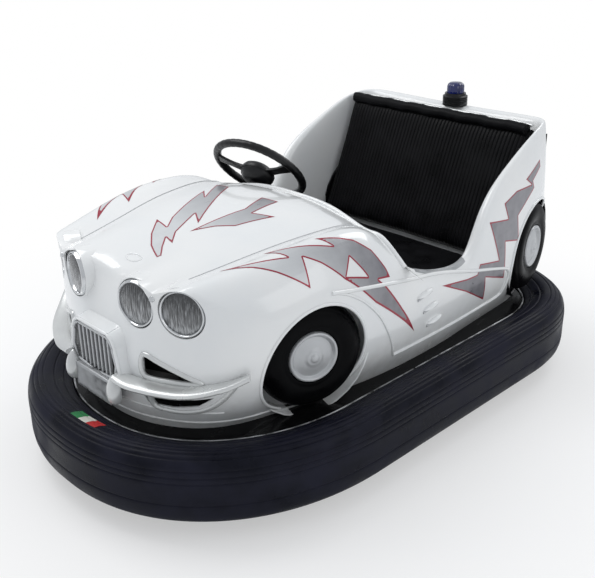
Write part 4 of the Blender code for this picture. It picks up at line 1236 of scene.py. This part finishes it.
GROOVE_WIDTH = 0.0022


def ring_plan(inset, count=RING_STEPS):
    """Plan of the ring, or of anything that follows it, inset metres inside the rubber's wall."""
    points = []
    for k in range(count):
        angle = 2 * math.pi * k / count
        c, s = math.cos(angle), math.sin(angle)
        power, cap = (FRONT_POWER, FRONT_CAP) if s < 0 else (REAR_POWER, REAR_CAP)
        cap -= inset
        along = cap * abs(s) ** (2 / power) + RING_HIGH.y - inset - cap
        across = (RING_HIGH.x - inset) * math.copysign(abs(c) ** (2 / power), c)
        points.append((across, math.copysign(along, s)))
    return points


def grooved_section():
    """The smooth section, with extra points where a groove is pressed in."""
    line = smooth_path([(inset, z, 0) for inset, z in RING_SECTION], 40)
    marks = []
    for kind, value, depth in GROOVES:
        axis = 1 if kind == "z" else 0
        gaps = [point[axis] - value for point in line]
        upper = [k for k in range(200, len(line) - 1) if gaps[k] * gaps[k + 1] <= 0]
        side = [k for k in range(len(line) - 1) if (line[k][1] - value) * (line[k + 1][1] - value) <= 0]
        marks.append(((side if kind == "z" else upper)[0], depth))
    lengths = [0.0]
    for here, there in zip(line, line[1:]):
        lengths.append(lengths[-1] + (there - here).length)
    wanted = {0.0, lengths[-1]}
    wanted |= {lengths[-1] * k / 34 for k in range(1, 34)}
    for mark, _ in marks:
        wanted |= {lengths[mark] + GROOVE_WIDTH * step for step in (-2.2, -1.2, -0.5, 0.0, 0.5, 1.2, 2.2)}
    section = []
    for reach in sorted(wanted):
        k = max(j for j in range(len(line) - 1) if lengths[j] <= max(reach, 0.0) + 1e-9)
        span = max(lengths[k + 1] - lengths[k], 1e-9)
        point = line[k].lerp(line[k + 1], min((reach - lengths[k]) / span, 1.0))
        ahead = (line[k + 1] - line[k]).normalized()
        inward = Vector((-ahead.y, ahead.x, 0)) * -1.0
        dent = sum(depth * math.exp(-((reach - lengths[mark]) / GROOVE_WIDTH) ** 2) for mark,
                   depth in marks)
        if not section or (point - section[-1]).length > 0.0003:
            section.append(point + inward * dent)
    return section


section = grooved_section()
ring = loft_rings("rubber_ring", [[(x, y, p.y) for x, y in ring_plan(max(p.x, 0.0))] for p in section],
                  False)
hand_over(ring, RING_RUBBER, stands_for=("bumper_tyre",), angle=60.0)

# %% [markdown]
# ## Steel lip and flag patch
# Where the rubber meets the deck, the hoop's lip has lost its paint and shines in long stretches.
# A small patch of three plain colours is stuck on the rubber in front.

# %% Lip and patch
LIP_INSET = 0.1400
LIP_HEIGHT = 0.2365
PATCH_X = (-0.012, 0.100)
PATCH_INSET = (0.055, 0.092)


def make_patch_paint():
    """Three plain blocks of colour across the car."""
    look = finish("three_colour_patch", (0.5, 0.5, 0.5), (0.6, 0.6, 0.6), 0.35)
    nodes, links = look.node_tree.nodes, look.node_tree.links
    place = nodes.new("ShaderNodeTexCoord")
    split = nodes.new("ShaderNodeSeparateXYZ")
    along = nodes.new("ShaderNodeMapRange")
    along.inputs["From Min"].default_value, along.inputs["From Max"].default_value = PATCH_X
    blocks = nodes.new("ShaderNodeValToRGB")
    blocks.color_ramp.interpolation = "CONSTANT"
    stops = blocks.color_ramp.elements
    stops[0].position, stops[0].color = 0.0, (0.01, 0.19, 0.05, 1)
    stops[1].position, stops[1].color = 0.66, (0.48, 0.02, 0.02, 1)
    white = stops.new(0.34)
    white.color = (0.62, 0.62, 0.56, 1)
    links.new(place.outputs["Object"], split.inputs["Vector"])
    links.new(split.outputs["X"], along.inputs["Value"])
    links.new(along.outputs["Result"], blocks.inputs["Fac"])
    links.new(blocks.outputs["Color"], nodes["Principled BSDF"].inputs["Base Color"])
    return look


DECK_LIP_RADIUS = 0.0032
lip_line = [(x, y, LIP_HEIGHT) for x, y in ring_plan(LIP_INSET)]
lip = tube_along("deck_lip", lip_line, DECK_LIP_RADIUS, closed=True, sides=2)
hand_over(lip, LIP_STEEL, angle=60.0)

ring_tree = BVHTree.FromPolygons([v.co.copy() for v in ring.data.vertices],
                                 [list(face.vertices) for face in ring.data.polygons])
deselect_all()
bpy.ops.mesh.primitive_grid_add(x_subdivisions=24, y_subdivisions=10, size=1.0)
patch = bpy.context.object
patch.name = "flag_patch"
for vertex in patch.data.vertices:
    x = PATCH_X[0] + (vertex.co.x + 0.5) * (PATCH_X[1] - PATCH_X[0])
    y = -RING_HIGH.y + PATCH_INSET[0] + (vertex.co.y + 0.5) * (PATCH_INSET[1] - PATCH_INSET[0]) + x * x * 0.75
    place, _, _, _ = ring_tree.ray_cast(Vector((x, y, 0.5)), Vector((0, 0, -1)))
    vertex.co = (x, y, place.z + 0.0008)
foil = patch.modifiers.new("foil", "SOLIDIFY")
foil.thickness = 0.0005
apply_all(patch)
hand_over(patch, make_patch_paint())

# %% [markdown]
# ## Dummy wheels
# The wheels on the body's sides never turn. Each is a smooth black tyre with a stepped wall and
# a domed silver cap with a nub, so both are lathe work.

# %% Tyres and caps
TYRE_PROFILE = [(0.060, -0.030), (0.0770, -0.030), (0.0775, -0.006), (0.0800, -0.001), (0.0850, 0.0005),
                (0.0900, -0.0012), (0.0960, 0.0012), (0.1120, 0.0038), (0.1280, 0.0025), (0.1400, -0.0020),
                (0.1435, -0.0050), (0.1470, -0.0050), (0.1530, -0.0100), (0.1595, -0.0200),
                (0.1625, -0.0320),
                (0.1630, -0.0420)]
CAP_PROFILE = [(0.0, 0.0120), (0.0060, 0.0117), (0.0105, 0.0102), (0.0125, 0.0078), (0.0150, 0.0060),
               (0.0200, 0.0062), (0.0240, 0.0050), (0.0265, 0.0022), (0.0330, 0.0012), (0.0450, -0.0016),
               (0.0560, -0.0052), (0.0605, -0.0060), (0.0635, -0.0035), (0.0660, 0.0015), (0.0690, 0.0036),
               (0.0725, 0.0036), (0.0752, 0.0012), (0.0762, -0.0040), (0.0762, -0.0240), (0.0, -0.0240)]


def dummy_tyre(name, depth, place):
    tread = [(0.1630, -depth + 0.018), (0.1600, -depth + 0.006), (0.1500, -depth), (0.060, -depth)]
    return turn_on_lathe(name, TYRE_PROFILE + tread, place, 96, closed=True)


for name, side, centre, yaw, depth in DUMMY_WHEELS:
    place = wheel_frame(side, centre, yaw)
    hand_over(dummy_tyre("tyre_" + name, depth, place), TYRE_BLACK,
              stands_for=("wheel_tyre_" + name,), angle=45.0)
    cap = turn_on_lathe("cap_" + name, CAP_PROFILE, place, 80)
    hand_over(cap, SILVER, stands_for=("wheel_cap_" + name,), angle=45.0)

# %% [markdown]
# ## Vinyl bench
# The back is black vinyl over foam, sewn into narrow upright pleats, with a rolled top edge.
# A fine grid is extruded into a closed pad, crowned, pulled in between its corners, and pleated.

# %% Seat cushion and pleated back
def padded_panel(name, width, length, thickness, cells, pleats, pleat_depth, place, seed):
    """Local X runs across the car, local Y along the panel, and local Z out of its face."""
    deselect_all()
    bpy.ops.mesh.primitive_grid_add(x_subdivisions=cells[0], y_subdivisions=cells[1], size=1.0)
    item = bpy.context.object
    item.name = name
    edit_all(item)
    bpy.ops.mesh.extrude_region_move(TRANSFORM_OT_translate={"value": (0, 0, -1.0)})
    leave_edit()
    for vertex in item.data.vertices:
        u, v = vertex.co.x * 2, vertex.co.y * 2
        crown = max(0.0, 1 - abs(u) ** 12) ** 0.45 * max(0.0, 1 - abs(v) ** 10) ** 0.45
        x = vertex.co.x * width * (1 - 0.010 * (1 - v * v))
        y = vertex.co.y * length * (1 - 0.016 * (1 - u * u))
        if vertex.co.z < -0.5:
            vertex.co = (x * 0.985, y * 0.97, 0.0)
            continue
        seam = (1 - abs(math.sin(math.pi * pleats * (u + 1) / 2))) ** 2.5 if pleats else 0.0
        sag = noise.noise(Vector((u * 2.2, v * 1.6, seed))) * 0.0035
        wrinkle = noise.noise(Vector((u * 9.0, v * 5.0, seed + 7.0))) * 0.0012
        height = thickness * (0.42 + 0.58 * crown) - seam * pleat_depth * crown + (sag + wrinkle) * crown
        vertex.co = (x, y, min(height, thickness))
    tidy_mesh(item)
    return settle(item, place)


CUSHION_LOW, CUSHION_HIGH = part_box("seat_cushion")
BACK_FOOT = Vector((0, 0.487, 0.440))
BACK_HEAD = Vector((0, 0.662, 0.868))
BACK_PAD = 0.052

cushion_size = CUSHION_HIGH - CUSHION_LOW
cushion_place = Matrix.Translation(((CUSHION_LOW.x + CUSHION_HIGH.x) / 2,
                                    (CUSHION_LOW.y + CUSHION_HIGH.y) / 2,
                                    CUSHION_LOW.z))
cushion = padded_panel("bench_cushion", cushion_size.x, cushion_size.y, cushion_size.z, (150, 64), 0, 0.0,
                       cushion_place, 3.0)
hand_over(cushion, VINYL, stands_for=("seat_cushion",), angle=60.0)

lean = (BACK_HEAD - BACK_FOOT).normalized()
out = Vector((0, -lean.z, lean.y))
back_turn = Matrix((Vector((1, 0, 0)), lean, out)).transposed().to_4x4()
back_middle = (BACK_FOOT + BACK_HEAD) / 2 - out * BACK_PAD
back = padded_panel("bench_back", cushion_size.x, (BACK_HEAD - BACK_FOOT).length, BACK_PAD, (540, 36), 54,
                    0.0030,
                    Matrix.Translation(back_middle) @ back_turn, 11.0)
hand_over(back, VINYL, stands_for=("seat_back",), angle=60.0)

ROLL_RADIUS = 0.019
roll_line = []
for k in range(41):
    x = (k / 20 - 1) * (CUSHION_HIGH.x - 0.012)
    dip = 0.003 * math.sin(k * 0.9) + 0.002 * math.sin(k * 2.3)
    roll_line.append((x, BACK_HEAD.y + 0.006 + dip * 0.5, BACK_HEAD.z - 0.006 + dip * 0.4))
roll = tube_along("bench_top_roll", roll_line, ROLL_RADIUS, sides=6)
hand_over(roll, VINYL, angle=60.0)
rail = tube_along("bench_rail", [(x, y + 0.036, z + 0.008) for x, y, z in roll_line[::4]], 0.006, sides=3)
hand_over(rail, BLADE)

# %% [markdown]
# ## Steering wheel
# A thick rim, three wide flat spokes and a deep padded boss, all in black. The wheel turns with
# the drive unit below, so every piece of it rides on the steering body.

# %% Steering wheel
STEER_CENTRE = Vector((-0.235, 0.012, 0.735))
STEER_AXIS = Vector((-0.185, 0.711, 0.678)).normalized()
WHEEL_RADIUS = 0.1575
GRIP_RADIUS = 0.0138
BOSS_PROFILE = [(0.0, 0.0120), (0.024, 0.0112), (0.042, 0.0075), (0.054, 0.0000), (0.0595, -0.010),
                (0.0600, -0.022),
                (0.0560, -0.034), (0.046, -0.044), (0.039, -0.0505), (0.0, -0.0515)]
SPOKE_ANGLES = (20.0, 160.0, 270.0)


def steering_rim(place):
    deselect_all()
    bpy.ops.mesh.primitive_torus_add(major_radius=WHEEL_RADIUS, minor_radius=GRIP_RADIUS,
                                     major_segments=160,
                                     minor_segments=20)
    item = bpy.context.object
    item.name = "steering_rim"
    for vertex in item.data.vertices:
        angle = math.atan2(vertex.co.y, vertex.co.x)
        grip = 1.0 - 0.05 * max(0.0, math.sin(angle * 40)) ** 4
        ring = Vector((math.cos(angle), math.sin(angle), 0)) * WHEEL_RADIUS
        vertex.co = ring + (vertex.co - ring) * grip
    return settle(item, place)


def spoke(angle, place):
    """A flat bar from boss to rim, pinched in the middle and rounded on its edges."""
    deselect_all()
    bpy.ops.mesh.primitive_cube_add(size=1.0, location=(0.096, 0, -0.010))
    item = bpy.context.object
    item.name = "steering_spoke"
    item.scale = (0.124, 0.044, 0.009)
    settle(item)
    edit_all(item)
    bpy.ops.mesh.subdivide(number_cuts=6)
    leave_edit()
    for vertex in item.data.vertices:
        t = (vertex.co.x - 0.034) / 0.124
        vertex.co.y *= 1.0 - 0.38 * math.sin(math.pi * min(max(t, 0.0), 1.0))
        vertex.co.z += 0.010 * t * t - 0.004
    edit_all(item)
    bpy.ops.mesh.bevel(offset=0.0025, segments=2, affect="EDGES", clamp_overlap=True)
    leave_edit()
    return settle(item, place @ Matrix.Rotation(math.radians(angle), 4, "Z"))


steer_place = axis_frame(STEER_CENTRE, STEER_AXIS)
boss = turn_on_lathe("steering_boss", BOSS_PROFILE, steer_place, 64)
wheel = join_pieces(steering_rim(steer_place), boss, *[spoke(angle, steer_place) for angle in SPOKE_ANGLES])
wheel.name = "steering_wheel_trim"
hand_over(wheel, PLASTIC, body="steering", stands_for=("steering_wheel",), angle=45.0)

# %% [markdown]
# ## Beacon
# The warning lamp on the tail has a ribbed black foot and a blue cap with upright flutes.

# %% Beacon
BEACON_LOW, BEACON_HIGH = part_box("beacon_base")
CAP_LOW, CAP_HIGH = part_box("beacon_lens")
BEACON_Y = (BEACON_LOW.y + BEACON_HIGH.y) / 2
FLUTES = 16


def ribbed_foot():
    low, high = BEACON_LOW.z, BEACON_HIGH.z
    profile = [(0.0, low), (0.046, low), (0.0462, low + 0.008)]
    for k in range(4):
        z = low + 0.010 + k * 0.006
        profile += [(0.0435, z), (0.0435, z + 0.0015), (0.0460, z + 0.0025), (0.0460, z + 0.005)]
    profile += [(0.0400, low + 0.036), (0.0385, high), (0.0, high)]
    return turn_on_lathe("beacon_foot", profile, Matrix.Translation((0, BEACON_Y, 0)), 64)


def fluted_cap():
    low, high = CAP_LOW.z, CAP_HIGH.z
    profile = [(0.0, low), (0.0315, low), (0.0322, low + 0.004), (0.0318, high - 0.014),
               (0.0290, high - 0.007),
               (0.0220, high - 0.0015), (0.0, high)]
    item = turn_on_lathe("beacon_cap", profile, Matrix.Identity(4), 128)
    for vertex in item.data.vertices:
        radius = math.hypot(vertex.co.x, vertex.co.y)
        if radius > 0.020:
            angle = math.atan2(vertex.co.y, vertex.co.x)
            shrink = 1.0 - 0.045 * abs(math.sin(angle * FLUTES / 2)) ** 2
            vertex.co.x *= shrink
            vertex.co.y *= shrink
    return settle(item, Matrix.Translation((0, BEACON_Y, 0)))


hand_over(ribbed_foot(), PLASTIC, stands_for=("beacon_base",), angle=30.0)
hand_over(fluted_cap(), BLUE_CAP, stands_for=("beacon_lens",), angle=45.0)

# %% [markdown]
# ## Lightning stripes
# The stripes are thin foil: silver-grey with a dark red edge, and paler towards the front as a painted
# highlight. Each outline is drawn flat, filled,
# cut into small strips so that it can bend, and laid on the skin. Every point keeps its distance
# from the outline in an attribute, and the material paints the red edge from that.

# %% Stripe material
EDGE_WIDTH = 0.0042


def make_stripe_foil():
    look = finish("stripe_foil", (0.18, 0.175, 0.195), (0.24, 0.235, 0.255), 0.30, metallic=0.25, coat=0.4,
                  mottle=24.0)
    nodes, links = look.node_tree.nodes, look.node_tree.links
    shader = nodes["Principled BSDF"]
    grey = shader.inputs["Base Color"].links[0].from_socket
    place = nodes.new("ShaderNodeTexCoord")
    split = nodes.new("ShaderNodeSeparateXYZ")
    # Paler towards the front and darker behind: painted light, with a painted highlight on the bonnet top and
    # painted shade along the flank.
    fade = nodes.new("ShaderNodeMapRange")
    fade.inputs["From Min"].default_value = -0.16
    fade.inputs["From Max"].default_value = -0.50
    fade.inputs["To Max"].default_value = 0.85
    links.new(place.outputs["Object"], split.inputs["Vector"])
    links.new(split.outputs["Y"], fade.inputs["Value"])
    pale = lay_over(look, grey, fade.outputs["Result"], (0.72, 0.74, 0.75))
    reach = nodes.new("ShaderNodeAttribute")
    reach.attribute_name = "edge_distance"
    near = nodes.new("ShaderNodeMapRange")
    near.inputs["From Min"].default_value = EDGE_WIDTH * 0.85
    near.inputs["From Max"].default_value = EDGE_WIDTH * 1.15
    near.inputs["To Min"].default_value = 1.0
    near.inputs["To Max"].default_value = 0.0
    links.new(reach.outputs["Fac"], near.inputs["Value"])
    edged = lay_over(look, pale, near.outputs["Result"], (0.33, 0.012, 0.035))
    links.new(edged, shader.inputs["Base Color"])
    return look


STRIPE_FOIL = make_stripe_foil()

# %% Draw and lay the stripes
STRIPE_CELL = 0.007
FOIL_LIFT = 0.0006
SHOULDER_STRIPE = [  # over the front wing, from its tip by the headlights
    (0.293, -0.605, 0.700), (0.384, -0.450, 0.715), (0.325, -0.470, 0.725), (0.412, -0.305, 0.715),
    (0.368, -0.335, 0.730), (0.392, -0.275, 0.722), (0.412, -0.225, 0.710), (0.440, -0.175, 0.677),
    (0.468, -0.145, 0.620), (0.477, -0.135, 0.592), (0.477, -0.185, 0.600), (0.480, -0.155, 0.572),
    (0.484, -0.082, 0.480), (0.469, -0.004, 0.367), (0.483, -0.200, 0.535), (0.466, -0.312, 0.635),
    (0.431, -0.370, 0.690), (0.400, -0.412, 0.708), (0.455, -0.433, 0.644), (0.397, -0.504, 0.691),
    (0.351, -0.550, 0.703),
]
SHOULDER_WINDOW = [(0.441, -0.268, 0.683), (0.472, -0.225, 0.618), (0.464, -0.305, 0.640)]
FLANK_STRIPE = [  # up the seat side, from its tip on the sill to the rear corner
    (0.48, 0.115, 0.487), (0.48, 0.245, 0.470), (0.48, 0.300, 0.468), (0.48, 0.310, 0.502),
    (0.48, 0.430, 0.478),
    (0.48, 0.352, 0.632), (0.48, 0.470, 0.612), (0.48, 0.440, 0.672), (0.48, 0.520, 0.695),
    (0.48, 0.630, 0.690),
    (0.48, 0.585, 0.718), (0.48, 0.690, 0.762), (0.48, 0.700, 0.735), (0.48, 0.640, 0.700),
    (0.48, 0.655, 0.672),
    (0.48, 0.540, 0.605), (0.48, 0.560, 0.510), (0.48, 0.462, 0.535), (0.48, 0.490, 0.392),
    (0.48, 0.356, 0.440),
    (0.48, 0.382, 0.345), (0.48, 0.245, 0.425),
]
BONNET_STRIPE = [  # down the middle of the bonnet
    (-0.118, -0.505, 0.716), (-0.062, -0.568, 0.697), (-0.012, -0.606, 0.682), (0.071, -0.645, 0.673),
    (0.075, -0.632, 0.680), (0.029, -0.593, 0.689), (-0.007, -0.555, 0.699), (0.040, -0.568, 0.697),
    (-0.004, -0.521, 0.709), (-0.038, -0.423, 0.734), (0.020, -0.458, 0.726), (-0.028, -0.381, 0.742),
    (-0.134, -0.210, 0.748), (-0.200, -0.205, 0.743), (-0.112, -0.325, 0.747), (-0.171, -0.281, 0.747),
    (-0.085, -0.473, 0.723), (-0.052, -0.517, 0.711),
]
CREST_STRIPE = [  # beside it, nearer the left wing
    (0.035, -0.500, 0.716), (0.083, -0.445, 0.729), (0.131, -0.411, 0.736), (0.172, -0.294, 0.746),
    (0.108, -0.325, 0.747), (0.095, -0.209, 0.750), (0.035, -0.221, 0.752), (0.069, -0.319, 0.749),
    (0.053, -0.410, 0.737),
]
SHOULDER_WAY = Vector((0.66, 0.0, 0.75))
SIDE_WAY = Vector((1.0, 0.0, 0.0))
TOP_WAY = Vector((0.0, 0.0, 1.0))


def outline_edges(points):
    return list(zip(points, points[1:] + points[:1]))


def edge_distance(point, edges):
    least = 1.0
    for start, stop in edges:
        span = stop - start
        t = min(max((point - start).dot(span) / span.length_squared, 0.0), 1.0)
        least = min(least, (point - start - span * t).length)
    return least


def lay_stripe(name, outline, way, window=None):
    way = way.normalized()
    flat = flatten(outline, way)
    level = flat[0].dot(way)
    edges = outline_edges(flat)
    sheet = draw_line(name, flat, True, True)
    if window:
        inner = [Vector(p) + way * (level - Vector(p).dot(way)) for p in window]
        edges += outline_edges(inner)
        hole = prism("stripe_window", inner, way, 0.05, 0.1)
        thick = sheet.modifiers.new("thick", "SOLIDIFY")
        thick.thickness = 0.02
        thick.offset = 0.0
        cut = sheet.modifiers.new("cut", "BOOLEAN")
        cut.object = hole
        cut.solver = "EXACT"
        apply_all(sheet)
        bpy.data.objects.remove(hole)
        edit_faces(sheet, lambda face: face.normal.dot(way) < 0.9)
        bpy.ops.mesh.delete(type="FACE")
        leave_edit()
    edit_all(sheet)
    bpy.ops.mesh.quads_convert_to_tris(quad_method="BEAUTY", ngon_method="BEAUTY")
    across = Vector((0, 1, 0)) if abs(way.y) < 0.5 else Vector((1, 0, 0))
    for axis in (across, way.cross(across)):
        low = min(p.dot(axis) for p in flat)
        high = max(p.dot(axis) for p in flat)
        for k in range(1, int((high - low) / STRIPE_CELL) + 1):
            bpy.ops.mesh.select_all(action="SELECT")
            bpy.ops.mesh.bisect(plane_co=axis * (low + k * STRIPE_CELL), plane_no=axis)
    bpy.ops.mesh.select_all(action="SELECT")
    bpy.ops.mesh.quads_convert_to_tris(quad_method="BEAUTY", ngon_method="BEAUTY")
    leave_edit()
    tidy_mesh(sheet)
    reach = sheet.data.attributes.new("edge_distance", "FLOAT", "POINT")
    shift = way * level
    for vertex in sheet.data.vertices:
        flat_place = vertex.co - way * vertex.co.dot(way) + shift
        reach.data[vertex.index].value = edge_distance(flat_place, edges)
    for vertex in sheet.data.vertices:
        vertex.co = on_skin(vertex.co - way * vertex.co.dot(way) + way * 0.5, way, FOIL_LIFT)
    if sum(face.normal.dot(way) for face in sheet.data.polygons) < 0:
        edit_all(sheet)
        bpy.ops.mesh.flip_normals()
        leave_edit()
    return sheet


for name, outline, way, window in (("shoulder_stripe_left", SHOULDER_STRIPE, SHOULDER_WAY, SHOULDER_WINDOW),
                                   ("flank_stripe_left", FLANK_STRIPE, SIDE_WAY, None)):
    stripe = lay_stripe(name, outline, way, window)
    twin = mirror_piece(stripe, name.replace("left", "right"))
    hand_over(stripe, STRIPE_FOIL, angle=None)
    hand_over(twin, STRIPE_FOIL, angle=None)
for name, outline in (("bonnet_stripe", BONNET_STRIPE), ("crest_stripe", CREST_STRIPE)):
    hand_over(lay_stripe(name, outline, TOP_WAY), STRIPE_FOIL, angle=None)

# %% [markdown]
# ## Small fittings
# A blank oval badge place is moulded on the bonnet, a bright screw sits between the headlights,
# a ribbed tread strip protects each sill, and each rear corner has a thin dark reflector.

# %% Small fittings
OVAL_MIDDLE = Vector((0.0, -0.662, 0.650))
OVAL_HALF = (0.030, 0.017)
OVAL_BEAD = 0.0022
OVAL_STEPS = 40
oval_line = []
for step in range(OVAL_STEPS):
    angle = 2 * math.pi * step / OVAL_STEPS
    around = Vector((OVAL_HALF[0] * math.cos(angle), OVAL_HALF[1] * math.sin(angle), 0))
    oval_line.append(on_skin(OVAL_MIDDLE + around, (0, -0.4, 1)))
oval = tube_along("badge_oval", oval_line, OVAL_BEAD, closed=True, sides=2)
hand_over(oval, GEL_COAT)


TREAD_MIDDLE = (0.459, 0.118)
TREAD_SIZE = (0.024, 0.250)
TREAD_LIFT, TREAD_RIB = 0.0016, 0.0006
TREAD_THICKNESS = 0.0015


def sill_tread(name, side):
    deselect_all()
    bpy.ops.mesh.primitive_grid_add(x_subdivisions=18, y_subdivisions=50, size=1.0)
    item = bpy.context.object
    item.name = name
    for vertex in item.data.vertices:
        x = side * (TREAD_MIDDLE[0] + vertex.co.x * TREAD_SIZE[0])
        y = TREAD_MIDDLE[1] + vertex.co.y * TREAD_SIZE[1]
        top = on_skin((x, y, 0.45), (0, 0, 1))
        rib = TREAD_RIB * (1 + math.sin(vertex.co.x * 36.0))
        vertex.co = (x, y, top.z + TREAD_LIFT + rib)
    strip = item.modifiers.new("strip", "SOLIDIFY")
    strip.thickness = TREAD_THICKNESS
    apply_all(item)
    return tidy_mesh(item)


REFLECTOR_SPOT = (0.41, 0.80, 0.800)
REFLECTOR_SIZE = (0.007, 0.006, 0.050)
SCREW_SPOT = (0.220, -0.770, 0.650)
SCREW_RADIUS = 0.0085


def corner_reflector(name, side):
    """A thin upright pad on the rear corner, bevelled all round."""
    way = Vector((side * 0.85, 0.5, 0)).normalized()
    x, y, z = REFLECTOR_SPOT
    place = on_skin((side * x, y, z), way)
    deselect_all()
    bpy.ops.mesh.primitive_cube_add(size=1.0)
    item = bpy.context.object
    item.name = name
    item.scale = REFLECTOR_SIZE
    settle(item)
    edit_all(item)
    bpy.ops.mesh.bevel(offset=0.0022, segments=3, affect="EDGES")
    leave_edit()
    side_turn = Matrix((way.cross(UP), way, UP)).transposed().to_4x4()
    return settle(item, Matrix.Translation(place) @ side_turn)


def lamp_screw(name, side):
    deselect_all()
    x, y, z = SCREW_SPOT
    way = (side * 0.3, -1, 0.35)
    place = on_skin((side * x, y, z), way)
    bpy.ops.mesh.primitive_uv_sphere_add(segments=24, ring_count=12, radius=SCREW_RADIUS)
    item = bpy.context.object
    item.name = name
    edit_all(item)
    bpy.ops.mesh.bisect(plane_co=(0, 0, 0.0045), plane_no=(0, 0, 1), clear_outer=True, use_fill=True)
    leave_edit()
    return settle(item, axis_frame(place, way))


for name, side in (("left", 1), ("right", -1)):
    hand_over(sill_tread("sill_tread_" + name, side), BRUSHED)
    hand_over(corner_reflector("corner_reflector_" + name, side), PLASTIC)
    hand_over(lamp_screw("lamp_screw_" + name, side), CHROME)
